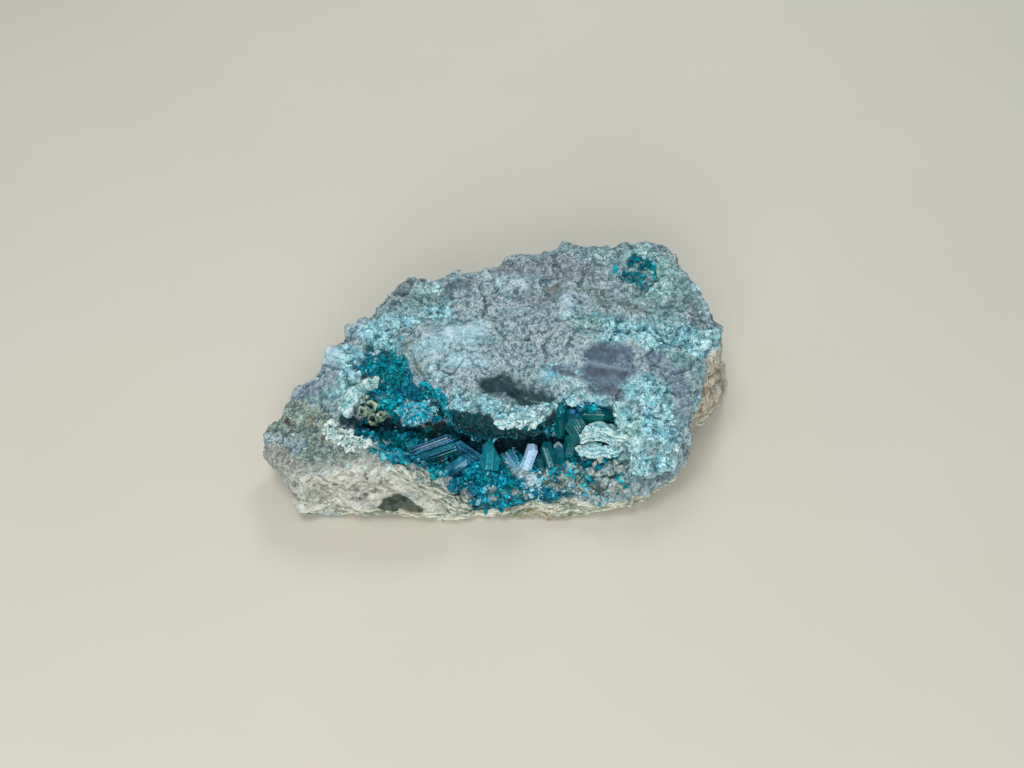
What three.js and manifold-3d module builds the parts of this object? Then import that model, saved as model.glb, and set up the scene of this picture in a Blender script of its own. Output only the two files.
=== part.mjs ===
// A hand specimen of dioptase with chrysocolla: a flat lump of quartz matrix, crusted with chrysocolla, with an
// open vug along its front that is lined with dioptase crystals.
// Millimetres, +Z up. X runs along the lump, -Y is the side where the vug opens. The origin is on the resting
// plane, under the middle of the lump.
import * as THREE from "three";
import { ConvexGeometry } from "three/addons/geometries/ConvexGeometry.js";
import { mergeVertices } from "three/addons/utils/BufferGeometryUtils.js";
import Module from "manifold-3d";

const wasm = await Module();
wasm.setup();

// ---- Driving dimensions ----
const CELL = 2.75; // size of the cells that the rock's surface is laid through
const ROUNDING = 1.6; // how far the rock's broken edges are rounded
const SWELL = 0.35; // how far its sides stand outside the outlines below
const BUMP_HEIGHT = 0.8; // height of its coarse bumps
const BUMP_WIDTH = 5.5; // and their width
const SEAT_GAP = 0.35; // clearance between the rock and each piece that sits on it
const TIP_SLOPE = 1.23; // rise over run of the three faces that end a dioptase crystal

// Outlines of the rock from above, each a closed run of [x, y]: where it meets the resting plane, and its upper edge.
const FOOT_OUTLINE = [
  [-42, -24], [-39, -26.8], [-33, -27.2], [-24, -27.3], [-10, -27.6], [4, -27], [14, -26.4], [24, -25], [29, -22],
  [33.5, -19], [36, -13], [38.5, -7], [41.5, -3], [46, 4], [47.8, 11], [45, 19], [39, 25.5], [27, 27.3], [12, 26.8],
  [0, 25], [-12, 22], [-22, 18], [-30, 11], [-36, 3], [-40, -4], [-42, -12], [-42.8, -19],
];
const BROW_OUTLINE = [
  [-48.2, -15], [-47.5, -12], [-44, -10], [-42, -7], [-38.5, -4.5], [-36, -1], [-37.5, 3.2], [-31, 3], [-32.2, 7.5],
  [-26, 9], [-26.2, 12.6], [-23, 15], [-21, 17.4], [-16, 17.8], [-12, 16.6], [-8, 18.8], [-4, 18.5], [2, 21.5],
  [12, 23.3], [27, 25], [33.5, 25.6], [36.2, 19], [39.6, 14.5], [40, 11], [43.5, 3], [42.5, -2.5], [37, -9],
  [35.5, -16], [32.5, -21.5], [23, -25.5], [7, -27], [-10, -27], [-20, -26], [-32, -25.5], [-41, -23.5], [-45.5, -20],
];
// Heights of the top at spots [x, y, z]; between them it is blended.
const TOP_SPOTS = [
  [-48, -15, 10.5], [-42, -9, 14.5], [-37, -1, 18], [-34, 2.5, 19.5], [-30, 7, 21], [-20, 17, 24.5], [-10, 16.5, 24],
  [2, 20.5, 26], [14, 22.5, 27.2], [30, 24, 27], [37, 17, 25.5], [40, 8, 24.5], [42.5, 1, 23.5], [38, -8, 21],
  [36.5, -13, 17], [34, -19, 11], [30, -23, 7.5], [24, -25, 6.5], [-44, -18, 11], [-40, -23, 12.5], [-30, -24.5, 14],
  [-20, -25, 14], [-13, -26, 12], [-33, -16, 14], [-32, -9, 16], [-31, -4, 17.5], [-26, 0, 19.8], [-18, -5, 19.8],
  [-10, -11, 19], [-8, -16, 17.8], [0, -17, 17.5], [6, -16, 17.5], [11, -11, 18.5], [20, -10, 18.8], [28, -9, 21],
  [28, -17, 15.5], [23, -15, 16], [24, -20, 11], [0, 0, 22.3], [12, 4, 24.2], [25, 5, 24.8], [-12, 4, 22],
  [-1, -11, 20.2], [7, -11, 19.8], [19, -4, 22.5], [14, -6, 22.5],
];
// The mouth of the vug from above, and the heights of the ground inside it at spots [x, y, z].
const MOUTH_OUTLINE = [
  [-31, -15], [-31.5, -9], [-29.5, -5], [-24, -1], [-21, -2], [-17.5, -7], [-13.5, -10], [-10.5, -12.5], [-9, -16.8],
  [-6, -17.6], [5, -17.3], [8.5, -15.4], [10.5, -12.2], [15.5, -11.4], [20.5, -11.4], [22.5, -14], [24, -19],
  [24.5, -23], [21, -30], [-5, -31], [-7, -26.2], [-11, -24.6], [-16, -23.6], [-22, -21.2], [-27, -18.8],
];
const FLOOR_SPOTS = [
  [-32, -12, 15], [-30.5, -6, 16.5], [-26.5, -3.2, 17.3], [-22.5, -2.6, 17.3], [-19, -6, 17], [-15, -9.5, 16],
  [-11, -12.5, 15.5], [-26, -7.5, 14.2], [-21, -7.5, 12.8], [-17, -10, 12.2], [-25, -10.8, 11.4], [-20, -10.8, 10.9],
  [-14, -12.8, 11], [-28, -16, 12], [-21, -14, 7.8], [-16, -16, 7.4], [-12, -15.5, 7.6], [-22, -19, 9.2],
  [-17, -22, 8.6], [-11, -19, 6.3], [-11, -23.5, 6.2], [-5, -18, 5.6], [2, -19, 5.2], [-3, -24, 3.6], [-5, -27, 2.8],
  [4, -27, 2.9], [10, -24, 3.8], [12, -27, 3.1], [10, -18, 5.8], [16, -20, 6], [22, -22, 6.2], [22, -25, 5],
  [15, -14, 7.5], [20, -16, 8.6],
];
// Hollows undercut beneath the ground and the brow: ellipsoids, each with its middle and half-axes.
const HOLLOWS = [
  { at: [0, -15.5, 9.2], half: [12.5, 7.5, 4.1] }, // the cave under the brow
  { at: [-18.5, -12, 9], half: [11, 4.6, 2] }, // the cleft below the left pocket
  { at: [15, -14.5, 11], half: [7.5, 5.5, 5] }, // the right pocket
  { at: [2.7, -9.8, 21.2], half: [8, 3.8, 5] }, // the groove across the brow
  { at: [19.5, -5, 29.6], half: [7, 5.5, 7.5] }, // a broken hollow in the quartz
];

// ---- Shape functions ----

// Whole-number hash to 0..1, and smooth value noise of unit cells built on it.
function hash(i, j, k) {
  let h = (i * 374761393 + j * 668265263 + k * 2147483647) | 0;
  h = Math.imul(h ^ (h >>> 13), 1274126177);
  return ((h ^ (h >>> 16)) >>> 0) / 4294967295;
}
function noise(x, y, z) {
  const [i, j, k] = [Math.floor(x), Math.floor(y), Math.floor(z)];
  const [u, v, w] = [x - i, y - j, z - k].map((t) => t * t * (3 - 2 * t));
  const mix = THREE.MathUtils.lerp;
  const edge = (dj, dk) => mix(hash(i, j + dj, k + dk), hash(i + 1, j + dj, k + dk), u);
  return mix(mix(edge(0, 0), edge(1, 0), v), mix(edge(0, 1), edge(1, 1), v), w) * 2 - 1;
}

// Signed distance from (x, y) to a closed outline, negative inside.
function outlineDistance(outline, x, y) {
  let nearest = Infinity;
  let inside = false;
  outline.forEach(([ax, ay], n) => {
    const [bx, by] = outline[(n + 1) % outline.length];
    const [ex, ey] = [bx - ax, by - ay];
    const t = THREE.MathUtils.clamp(((x - ax) * ex + (y - ay) * ey) / (ex * ex + ey * ey), 0, 1);
    nearest = Math.min(nearest, Math.hypot(x - ax - t * ex, y - ay - t * ey));
    if (ay > y !== by > y && x < ax + ((y - ay) / ey) * ex) inside = !inside;
  });
  return inside ? -nearest : nearest;
}

// The height at (x, y): the spots' heights, weighed by nearness.
function heightAt(spots, x, y) {
  let sum = 0;
  let weights = 0;
  for (const [sx, sy, sz] of spots) {
    const weight = 1 / ((x - sx) ** 2 + (y - sy) ** 2 + 4) ** 1.7;
    sum += weight * sz;
    weights += weight;
  }
  return sum / weights;
}

function ellipsoidDistance({ at, half }, x, y, z) {
  const [dx, dy, dz] = [x - at[0], y - at[1], z - at[2]];
  const near = Math.hypot(dx / half[0], dy / half[1], dz / half[2]);
  const slope = Math.hypot(dx / half[0] ** 2, dy / half[1] ** 2, dz / half[2] ** 2);
  return slope > 0 ? (near * (near - 1)) / slope : -Math.min(...half);
}

const smoothMax = (a, b, r) => Math.max(a, b) + Math.max(r - Math.abs(a - b), 0) ** 2 / (4 * r);

// The rock as a field: negative inside, and near its skin about the distance to it.
function rockField(x, y, z) {
  const top = heightAt(TOP_SPOTS, x, y);
  const rise = THREE.MathUtils.smoothstep(z, 0, 0.7 * top);
  const side = THREE.MathUtils.lerp(outlineDistance(FOOT_OUTLINE, x, y), outlineDistance(BROW_OUTLINE, x, y), rise);
  let field = smoothMax(side - SWELL, z - top, ROUNDING);
  const mouth = Math.max(outlineDistance(MOUTH_OUTLINE, x, y), heightAt(FLOOR_SPOTS, x, y) - z);
  field = smoothMax(field, -mouth, 0.7);
  for (const hollow of HOLLOWS) field = smoothMax(field, -ellipsoidDistance(hollow, x, y, z), 0.7);
  const coarse = noise(x / BUMP_WIDTH, y / BUMP_WIDTH, z / BUMP_WIDTH);
  field += BUMP_HEIGHT * (coarse + 0.55 * noise(x / 2.4 + 9, y / 2.4, z / 2.4));
  // The underside is flat but for a shallow recess.
  return smoothMax(field, -z - 0.9 + 2 * noise(x / 13 + 3, y / 13 + 0.35, 0), 1);
}

function gradient(field, { x, y, z }, step = 0.25) {
  return new THREE.Vector3(
    field(x + step, y, z) - field(x - step, y, z),
    field(x, y + step, z) - field(x, y - step, z),
    field(x, y, z + step) - field(x, y, z - step),
  ).divideScalar(2 * step);
}

// Moves a point onto the field's surface, by no more than limit.
function settled(field, point, limit) {
  const slope = gradient(field, point);
  const shift = slope.multiplyScalar(-field(point.x, point.y, point.z) / Math.max(slope.lengthSq(), 0.3));
  return point.add(shift.clampLength(0, limit));
}

// Lays a closed surface where field(x, y, z) is 0: one point in each cell that the surface crosses, joined by quads.
function surfaceOf(field, low, high, size) {
  const counts = low.map((l, axis) => Math.ceil((high[axis] - l) / size) + 1);
  const [nx, ny, nz] = counts;
  const index = (i, j, k) => (k * ny + j) * nx + i;
  const values = new Float64Array(nx * ny * nz);
  for (let k = 0; k < nz; k++)
    for (let j = 0; j < ny; j++)
      for (let i = 0; i < nx; i++)
        values[index(i, j, k)] = field(low[0] + i * size, low[1] + j * size, low[2] + k * size);

  const corners = [0, 1, 2, 3, 4, 5, 6, 7].map((n) => [n & 1, (n >> 1) & 1, n >> 2]);
  const edges = corners.flatMap((a, n) =>
    corners.flatMap((b, m) => (m > n && a.reduce((s, v, q) => s + Math.abs(v - b[q]), 0) === 1 ? [[a, b]] : [])));
  const cells = [];
  for (let k = 0; k < nz - 1; k++)
    for (let j = 0; j < ny - 1; j++)
      for (let i = 0; i < nx - 1; i++) cells.push([i, j, k]);
  const indexAt = ([i, j, k], [a, b, c]) => index(i + a, j + b, k + c);

  // A cell that two sheets of the surface pass through is filled in, so that the surface never touches itself.
  const groups = (cell, inside) => {
    const group = corners.map((corner) => (values[indexAt(cell, corner)] < 0 === inside ? corner : null));
    const labels = group.map((corner, n) => (corner ? n : -1));
    for (let pass = 0; pass < 4; pass++)
      for (const [a, b] of edges) {
        const [n, m] = [corners.indexOf(a), corners.indexOf(b)];
        if (labels[n] >= 0 && labels[m] >= 0) labels[n] = labels[m] = Math.min(labels[n], labels[m]);
      }
    return new Set(labels.filter((label) => label >= 0)).size;
  };
  for (let changed = true; changed; ) {
    changed = false;
    for (const cell of cells) {
      if (groups(cell, true) < 2 && groups(cell, false) < 2) continue;
      const outside = corners.map((corner) => indexAt(cell, corner)).filter((n) => values[n] >= 0);
      values[outside.sort((a, b) => values[a] - values[b])[0]] = -0.2;
      changed = true;
    }
  }

  const positions = [];
  const pointOf = new Map();
  for (const cell of cells) {
    const sum = new THREE.Vector3();
    let crossings = 0;
    for (const [a, b] of edges) {
      const [va, vb] = [values[indexAt(cell, a)], values[indexAt(cell, b)]];
      if (va < 0 === vb < 0) continue;
      sum.add(new THREE.Vector3(...a).lerp(new THREE.Vector3(...b), va / (va - vb)));
      crossings += 1;
    }
    if (!crossings) continue;
    sum.divideScalar(crossings).add(new THREE.Vector3(...cell)).multiplyScalar(size);
    pointOf.set(index(...cell), positions.length / 3);
    positions.push(...settled(field, sum.add(new THREE.Vector3(...low)), 0.3 * size));
  }

  const triangles = [];
  const steps = [[1, 0, 0], [0, 1, 0], [0, 0, 1]];
  for (let k = 1; k < nz - 1; k++)
    for (let j = 1; j < ny - 1; j++)
      for (let i = 1; i < nx - 1; i++)
        steps.forEach((step, axis) => {
          const inside = values[index(i, j, k)] < 0;
          if (inside === values[index(i + step[0], j + step[1], k + step[2])] < 0) return;
          const [u, v] = [steps[(axis + 1) % 3], steps[(axis + 2) % 3]];
          const around = [[0, 0], [1, 0], [1, 1], [0, 1]].map(([a, b]) =>
            pointOf.get(index(i - a * u[0] - b * v[0], j - a * u[1] - b * v[1], k - a * u[2] - b * v[2])));
          if (!inside) around.reverse();
          triangles.push(around[0], around[1], around[2], around[0], around[2], around[3]);
        });
  const geometry = new THREE.BufferGeometry();
  geometry.setAttribute("position", new THREE.Float32BufferAttribute(positions, 3));
  geometry.setIndex(triangles);
  return geometry;
}

// ---- Solids: between three.js geometry and manifold-3d ----

function solid(geometry) {
  const bare = geometry.clone();
  bare.deleteAttribute("normal");
  bare.deleteAttribute("uv");
  const merged = mergeVertices(bare, 1e-4);
  return new wasm.Manifold(new wasm.Mesh({
    numProp: 3,
    vertProperties: new Float32Array(merged.attributes.position.array),
    triVerts: new Uint32Array(merged.index.array),
  }));
}
// The manifold's largest body; crumbs that a cut leaves beside it are dropped.
function geometryOf(manifold) {
  const { vertProperties, triVerts, numProp } = manifold.getMesh();
  const parent = Array.from({ length: vertProperties.length / numProp }, (_, n) => n);
  const rootOf = (n) => {
    while (parent[n] !== n) n = parent[n] = parent[parent[n]];
    return n;
  };
  for (let n = 0; n < triVerts.length; n += 3)
    for (const m of [1, 2]) parent[rootOf(triVerts[n])] = rootOf(triVerts[n + m]);
  const sizes = new Map();
  for (const n of triVerts) sizes.set(rootOf(n), (sizes.get(rootOf(n)) ?? 0) + 1);
  const largest = [...sizes].sort((a, b) => b[1] - a[1])[0][0];

  const positions = [];
  const renumbered = new Map();
  const index = [];
  for (const n of triVerts) {
    if (rootOf(n) !== largest) continue;
    if (!renumbered.has(n)) {
      renumbered.set(n, positions.length / 3);
      positions.push(...vertProperties.subarray(n * numProp, n * numProp + 3));
    }
    index.push(renumbered.get(n));
  }
  const geometry = new THREE.BufferGeometry();
  geometry.setAttribute("position", new THREE.Float32BufferAttribute(positions, 3));
  geometry.setIndex(index);
  return geometry;
}

// The geometry with its faces pushed outwards by distance. A point on a sharp edge goes further than its faces do.
function inflated(geometry, distance) {
  const swollen = geometry.clone();
  swollen.computeVertexNormals();
  const { position, normal } = swollen.attributes;
  const read = (attribute, n) => new THREE.Vector3().fromBufferAttribute(attribute, n);
  const closeness = new Float32Array(position.count).fill(1);
  for (let n = 0; n < swollen.index.count; n += 3) {
    const corners = [0, 1, 2].map((m) => swollen.index.getX(n + m));
    const face = new THREE.Triangle(...corners.map((m) => read(position, m))).getNormal(new THREE.Vector3());
    for (const m of corners) closeness[m] = Math.min(closeness[m], face.dot(read(normal, m)));
  }
  for (let n = 0; n < position.count; n++) {
    const push = read(normal, n).multiplyScalar(distance / Math.max(closeness[n], 0.4));
    position.setXYZ(n, ...read(position, n).add(push));
  }
  return swollen;
}

// ---- Crystals and crusts: each is a function that gives its solid, pushed outwards by grow ----

// A dioptase crystal from foot to tip: a six-sided prism ended by three slanting faces.
function crystal(foot, tip, width, turn = 0) {
  return (grow) => {
    const [from, to] = [new THREE.Vector3(...foot), new THREE.Vector3(...tip)];
    const axis = to.clone().sub(from);
    const radius = width / 2 + grow;
    const length = axis.length() + 1.6 * grow;
    const points = [new THREE.Vector3(0, 0, length)];
    for (let n = 0; n < 6; n++) {
      const angle = (n * Math.PI) / 3;
      const [x, y] = [radius * Math.cos(angle), radius * Math.sin(angle)];
      const shoulder = length - TIP_SLOPE * radius * (n % 2 ? 0.5 : 1);
      points.push(new THREE.Vector3(x, y, -grow), new THREE.Vector3(x, y, Math.max(shoulder, 0.1)));
    }
    const geometry = new ConvexGeometry(points).rotateZ(THREE.MathUtils.degToRad(turn));
    const upright = new THREE.Vector3(0, 0, 1);
    geometry.applyQuaternion(new THREE.Quaternion().setFromUnitVectors(upright, axis.normalize()));
    return solid(geometry.translate(...foot));
  };
}

// Crystals that stand on the rock at spots [x, y, z], each found by going from the spot along toward to the rock.
function druse(spots, { width, height, toward = [0, 0, -1], spread = 0.5, sunk = 1.2 }) {
  return spots.map(([x, y, z], n) => {
    const point = new THREE.Vector3(x, y, z);
    const step = new THREE.Vector3(...toward).normalize().multiplyScalar(0.1);
    for (let m = 0; m < 200 && rockField(point.x, point.y, point.z) > 0; m++) point.add(step);
    const lean = [1, 2, 3].map((axis) => spread * (2 * hash(n, axis, Math.round(x * 10)) - 1));
    const axis = gradient(rockField, point, 1).normalize().add(new THREE.Vector3(...lean)).normalize();
    const size = 0.8 + 0.4 * hash(n, 7, Math.round(y * 10));
    const foot = point.clone().addScaledVector(axis, -sunk);
    const tip = point.clone().addScaledVector(axis, height * size);
    return crystal(foot.toArray(), tip.toArray(), width * size, 360 * hash(n, 11, 5));
  });
}

// A rounded, uneven lump with half-axes half, turned by angles in degrees.
function lump(at, half, turn = [0, 0, 0], unevenness = 0.3, detail = 1) {
  return (grow) => {
    const geometry = new THREE.IcosahedronGeometry(1, detail);
    const position = geometry.attributes.position;
    for (let n = 0; n < position.count; n++) {
      const v = new THREE.Vector3().fromBufferAttribute(position, n);
      const wave = 1 + unevenness * noise(1.6 * v.x + at[0], 1.6 * v.y + at[1], 1.6 * v.z + at[2]);
      position.setXYZ(n, ...v.toArray().map((value, axis) => value * (half[axis] * wave + grow)));
    }
    const [rx, ry, rz] = turn.map(THREE.MathUtils.degToRad);
    return solid(geometry.rotateX(rx).rotateY(ry).rotateZ(rz).translate(...at));
  };
}

// ---- The specimen ----
const specimen = new THREE.Group();
function add(name, manifold, color, roughness) {
  const material = new THREE.MeshStandardMaterial({ color, roughness, metalness: 0 });
  const mesh = new THREE.Mesh(geometryOf(manifold), material);
  mesh.name = name;
  specimen.add(mesh);
}

const union = (shapes, grow) => shapes.map((shape) => shape(grow)).reduce((joined, next) => joined.add(next));
const roughRock = surfaceOf(rockField, [-54, -34, -6], [54, 34, 33], CELL);
const restingPlane = solid(new THREE.BoxGeometry(120, 80, 20).translate(0, 0, -10));
let taken = solid(inflated(roughRock, SEAT_GAP)); // all that is filled so far, with its clearance around it

// A piece of its own on the rock: its shapes grown together, less what is already there.
function addPiece(name, shapes, color, roughness) {
  add(name, union(shapes, 0).subtract(taken), color, roughness);
  taken = taken.add(union(shapes, SEAT_GAP));
}

add("matrix_rock", solid(roughRock).subtract(restingPlane), 0x8f9fa0, 0.9);

// Large crystals that stand out in the vug.
addPiece("dioptase_white_prism", [crystal([3.7, -19.9, 5.2], [5.7, -17.5, 11.5], 2, 20)], 0x8fc7dc, 0.15);
addPiece("dioptase_peak_prism", [crystal([-3.2, -17.6, 5], [-2.4, -16.9, 11.3], 3.8, 10)], 0x0b6f80, 0.15);
addPiece("dioptase_blue_prism", [crystal([-12.4, -21.6, 6.4], [-6.6, -18.9, 9.6], 2.6, 30)], 0x1d6f96, 0.15);
addPiece("dioptase_striated_bundle_left", [0, 1, 2, 3].map((n) =>
  crystal([-18.6 + 0.2 * n, -16.6 - 0.85 * n, 8.4 - 0.25 * n], [-10 + 0.3 * n, -14.1 - 0.85 * n, 10.8 - 0.35 * n],
    1.3, 15 * n)), 0x3f93b5, 0.2);
addPiece("dioptase_striated_bundle_middle", [0, 1, 2].map((n) =>
  crystal([-4.6 - 0.6 * n, -16.2 - n, 6.2 - 0.25 * n], [-9.7 - 0.4 * n, -14.8 - 0.9 * n, 9.8 - 0.4 * n],
    1.4, 12 * n)), 0x4a8fb4, 0.2);
addPiece("dioptase_striated_splinters", [0, 1, 2].map((n) =>
  crystal([3.2 - 0.5 * n, -19.8 - 0.1 * n, 5], [-0.5 + 0.9 * n, -16.9 - 0.6 * n, 9.8 - 0.6 * n], 1.2, 9 * n)),
  0xb9dbe4, 0.2);
addPiece("dioptase_dark_blocks", [
  crystal([17, -10.5, 8.5], [15.6, -13.8, 15.6], 4.6, 0),
  crystal([13.5, -10.5, 8], [11.5, -14.2, 15.4], 4.4, 20),
  crystal([20, -10.5, 9], [19.3, -13, 16.2], 3.8, 40),
  crystal([13, -12, 5.5], [11.4, -16, 11.6], 3.8, 15),
], 0x0a5a5c, 0.2);
addPiece("dioptase_small_blocks", [
  crystal([8.2, -15, 4], [7.5, -17, 10.2], 2.8, 10),
  crystal([10.2, -16, 4], [9.8, -17.6, 9.6], 2.6, 30),
  crystal([6.9, -16.8, 4], [7.4, -18.6, 8.2], 2.2, 50),
], 0x1a5f78, 0.2);

// Crusts of chrysocolla, and the quartz that stands among them.
addPiece("chrysocolla_ledge_upper", [
  lump([17.9, -15.6, 12.6], [3.2, 1.8, 1.4], [8, -10, 4]),
  lump([21.6, -15.4, 12.4], [3.2, 2.1, 1.7], [0, 0, 20]),
], 0xb9dccf, 0.8);
addPiece("chrysocolla_ledge_lower", [
  lump([18.8, -17.9, 9.9], [5, 1.9, 1.3], [10, 5, -2]),
], 0xa9dcd8, 0.8);
addPiece("chrysocolla_brow_edge", [
  lump([-2, -18, 17], [2.6, 1.2, 1], [20, 5, 0], 0.2, 0),
  lump([1.3, -18.2, 16.6], [2.8, 1.3, 1.1], [20, -5, 0], 0.2, 0),
  lump([4.4, -17.9, 16.9], [2.6, 1.3, 1], [20, 0, 10], 0.2, 0),
  lump([7, -16.9, 17.2], [2.3, 1.4, 1], [20, 0, 30], 0.2, 0),
], 0xb4dcdc, 0.8);
addPiece("chrysocolla_rim_left", [
  lump([-28.2, -7.1, 16.9], [3.1, 1.6, 0.9], [15, 0, 35]),
  lump([-31.4, -10.1, 15.9], [3, 1.8, 1], [10, 0, 48]),
], 0xb7ccb9, 0.85);
addPiece("chrysocolla_plate_left", [
  lump([-30.4, -18, 14.9], [4.4, 2.3, 1], [10, 4, -22]),
], 0xc2cfb4, 0.85);
addPiece("quartz_boxwork", [
  lump([-25.2, -9.4, 13.6], [1.9, 1.4, 1.3]),
  lump([-27.2, -10.6, 13.2], [1.8, 1.5, 1.6], [0, 0, 0], 0.3, 0),
  lump([-25.4, -11.4, 12], [1.9, 1.5, 1.6], [0, 0, 0], 0.3, 0),
], 0xb4b98f, 0.6);
addPiece("quartz_nodules", [
  [18, -20.2, 8.2, 1.6], [20.1, -20.8, 8.1, 1.8], [22.2, -20, 8.4, 1.7], [22, -22.2, 7.4, 1.6],
  [18.9, -22.4, 6.9, 1.7],
].map(([x, y, z, r], n) => lump([x, y, z], [r, 0.9 * r, r], [30 * n, 50 * n, 0], 0.25, 0)), 0xb9c0b4, 0.5);
addPiece("chrysocolla_ledge_left", [
  lump([-17.3, -11.3, 12.4], [4.2, 1.9, 1.5], [25, 0, 5]),
], 0x9fcbd8, 0.7);

// Druses of small crystals that line the vug.
addPiece("dioptase_left_pocket", druse([
  [-28, -6.4, 22], [-26, -4.6, 22], [-23.4, -3.8, 22], [-24.8, -7.2, 22], [-22.2, -6.2, 22], [-20.2, -8.2, 22],
  [-17.8, -9.2, 22], [-15.6, -10.8, 22], [-13.2, -12.2, 22],
], { width: 3.6, height: 2.6, spread: 0.25 }), 0x0b7f8c, 0.2);
addPiece("dioptase_brow_lining", druse([
  [-8.8, -24, 15.6], [-5.8, -24, 15.2], [-2.8, -24, 15], [0.2, -24, 15], [3.2, -24, 15], [6.2, -24, 15.4],
], { width: 4, height: 2.3, toward: [0, 1, 0], spread: 0.15 }), 0x134e55, 0.25);
addPiece("dioptase_floor_left", druse([
  [-22.6, -13.4, 12], [-20.4, -14.6, 12], [-18.2, -13.4, 12], [-24.8, -15.2, 13], [-21.6, -17, 13],
  [-20.4, -19.4, 13], [-17.8, -20.8, 13],
], { width: 3.7, height: 2.7, spread: 0.25 }), 0x137f90, 0.2);
addPiece("dioptase_floor_middle", druse([
  [-12.2, -22.8, 12], [-9.6, -22.2, 12], [-7.4, -23.8, 12], [-6.8, -21.2, 12], [-4.6, -22.6, 12],
  [-4.2, -20.2, 12], [-4.6, -25, 12], [-2.2, -23.4, 12],
], { width: 3.7, height: 2.5, spread: 0.25 }), 0x137f90, 0.2);
addPiece("dioptase_floor_right", druse([
  [0.4, -22.6, 12], [1.6, -25, 12], [3.6, -23, 12], [6.2, -23.8, 12], [7.2, -21.2, 12], [9.4, -23, 12],
  [10.4, -20.4, 12], [13.4, -21.4, 12],
], { width: 3.6, height: 2.5, spread: 0.25 }), 0x1a8fa0, 0.2);
addPiece("dioptase_top_patch", druse([
  [23, 17, 32], [25, 17.2, 32], [27.2, 17.4, 32], [26, 15.4, 32], [28.4, 15.8, 32], [24.4, 14.2, 32],
], { width: 2.8, height: 1.9, spread: 0.2 }), 0x0f7480, 0.25);

export default specimen;
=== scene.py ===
import math

import bmesh
import bpy
import numpy as np
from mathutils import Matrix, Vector
from mathutils.bvhtree import BVHTree
from mathutils.kdtree import KDTree


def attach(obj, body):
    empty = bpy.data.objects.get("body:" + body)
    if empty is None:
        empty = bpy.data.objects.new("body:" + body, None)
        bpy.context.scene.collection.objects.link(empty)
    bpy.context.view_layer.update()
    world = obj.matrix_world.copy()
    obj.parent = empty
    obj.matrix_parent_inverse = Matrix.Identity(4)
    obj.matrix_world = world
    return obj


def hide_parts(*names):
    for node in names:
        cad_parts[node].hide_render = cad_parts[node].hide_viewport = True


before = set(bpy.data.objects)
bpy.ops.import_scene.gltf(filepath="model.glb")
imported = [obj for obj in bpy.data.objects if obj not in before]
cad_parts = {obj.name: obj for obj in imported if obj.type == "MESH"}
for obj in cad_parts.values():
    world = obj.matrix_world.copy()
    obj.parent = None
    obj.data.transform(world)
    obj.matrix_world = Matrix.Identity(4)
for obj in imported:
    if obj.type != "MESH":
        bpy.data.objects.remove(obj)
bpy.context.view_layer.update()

# ---- Camera, floor and light ----
# A plain pale floor under the resting plane, and three soft lamps: one overhead, one behind, one in front.
# The camera looks along +Y and 48 degrees down at the vug side of the specimen.
MM = 0.001
PICTURE = (1024, 768)
FOCAL_PIXELS = 1036
FILM = 36  # mm across
CAMERA_AT = (1.4, -142.8, 168)  # mm
LOOKS_DOWN = 48  # degrees


def tint(code):
    """Linear red, green and blue of a six-digit screen colour."""
    values = [int(code[n : n + 2], 16) / 255 for n in (0, 2, 4)]
    return tuple(v / 12.92 if v <= 0.04045 else ((v + 0.055) / 1.055) ** 2.4 for v in values)


camera = bpy.data.objects.new("camera", bpy.data.cameras.new("camera"))
bpy.context.scene.collection.objects.link(camera)
camera.location = [value * MM for value in CAMERA_AT]
camera.rotation_euler = (math.radians(90 - LOOKS_DOWN), 0, 0)
camera.data.sensor_width = FILM
camera.data.lens = FILM * FOCAL_PIXELS / PICTURE[0]
camera.data.clip_start = 0.01
bpy.context.scene.camera = camera
bpy.context.scene.view_settings.view_transform = "Standard"


class Socket:
    """A shader socket that takes arithmetic, and makes the nodes beside it."""

    def __init__(self, socket):
        self.socket = socket
        self.tree = socket.id_data

    def make(self, kind, settings=None, values=None, output=0):
        """A new node of a kind, with its settings and inputs: one of its outputs."""
        node = self.tree.nodes.new(kind)
        for name, value in (settings or {}).items():
            setattr(node, name, value)
        for name, value in (values or {}).items():
            if isinstance(value, Socket):
                self.tree.links.new(value.socket, node.inputs[name])
            elif isinstance(value, tuple) and node.inputs[name].type == "RGBA":
                node.inputs[name].default_value = (*value, 1)
            else:
                node.inputs[name].default_value = value
        return Socket(node.outputs[output])

    def __neg__(self):
        return self * -1.0

    def math(self, operation, *values):
        return self.make("ShaderNodeMath", {"operation": operation}, dict(enumerate(values)))

    def __add__(self, other):
        return self.math("ADD", self, other)

    def __radd__(self, other):
        return self.math("ADD", other, self)

    def __sub__(self, other):
        return self.math("SUBTRACT", self, other)

    def __rsub__(self, other):
        return self.math("SUBTRACT", other, self)

    def __mul__(self, other):
        return self.math("MULTIPLY", self, other)

    def __rmul__(self, other):
        return self.math("MULTIPLY", other, self)

    def vector(self, operation, *values, output=0):
        return self.make("ShaderNodeVectorMath", {"operation": operation}, dict(enumerate(values)), output)

    def stretched(self, *by):
        """This place, multiplied along X, Y and Z."""
        return self.vector("MULTIPLY", self, by)

    def between(self, low, high):
        """0 below low, 1 above high and a smooth step between."""
        limits = {"From Min": low, "From Max": high, "Value": self}
        return self.make("ShaderNodeMapRange", {"interpolation_type": "SMOOTHSTEP"}, limits)

    def ridged(self):
        """Soft noise folded into sharp crests, 0 in the hollows to 1 on the crests."""
        return 1 - self.math("ABSOLUTE", self * 2 - 1) * 2.2

    def mix(self, one, other):
        """Colour one where this is 0, and the other where it is 1."""
        return self.make("ShaderNodeMix", {"data_type": "RGBA"}, {0: self, 6: one, 7: other}, 2)

    def shades(self, low, high, dark, light):
        """One screen colour where this is below low, the other where it is above high."""
        return self.between(low, high).mix(tint(dark), tint(light))


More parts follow.
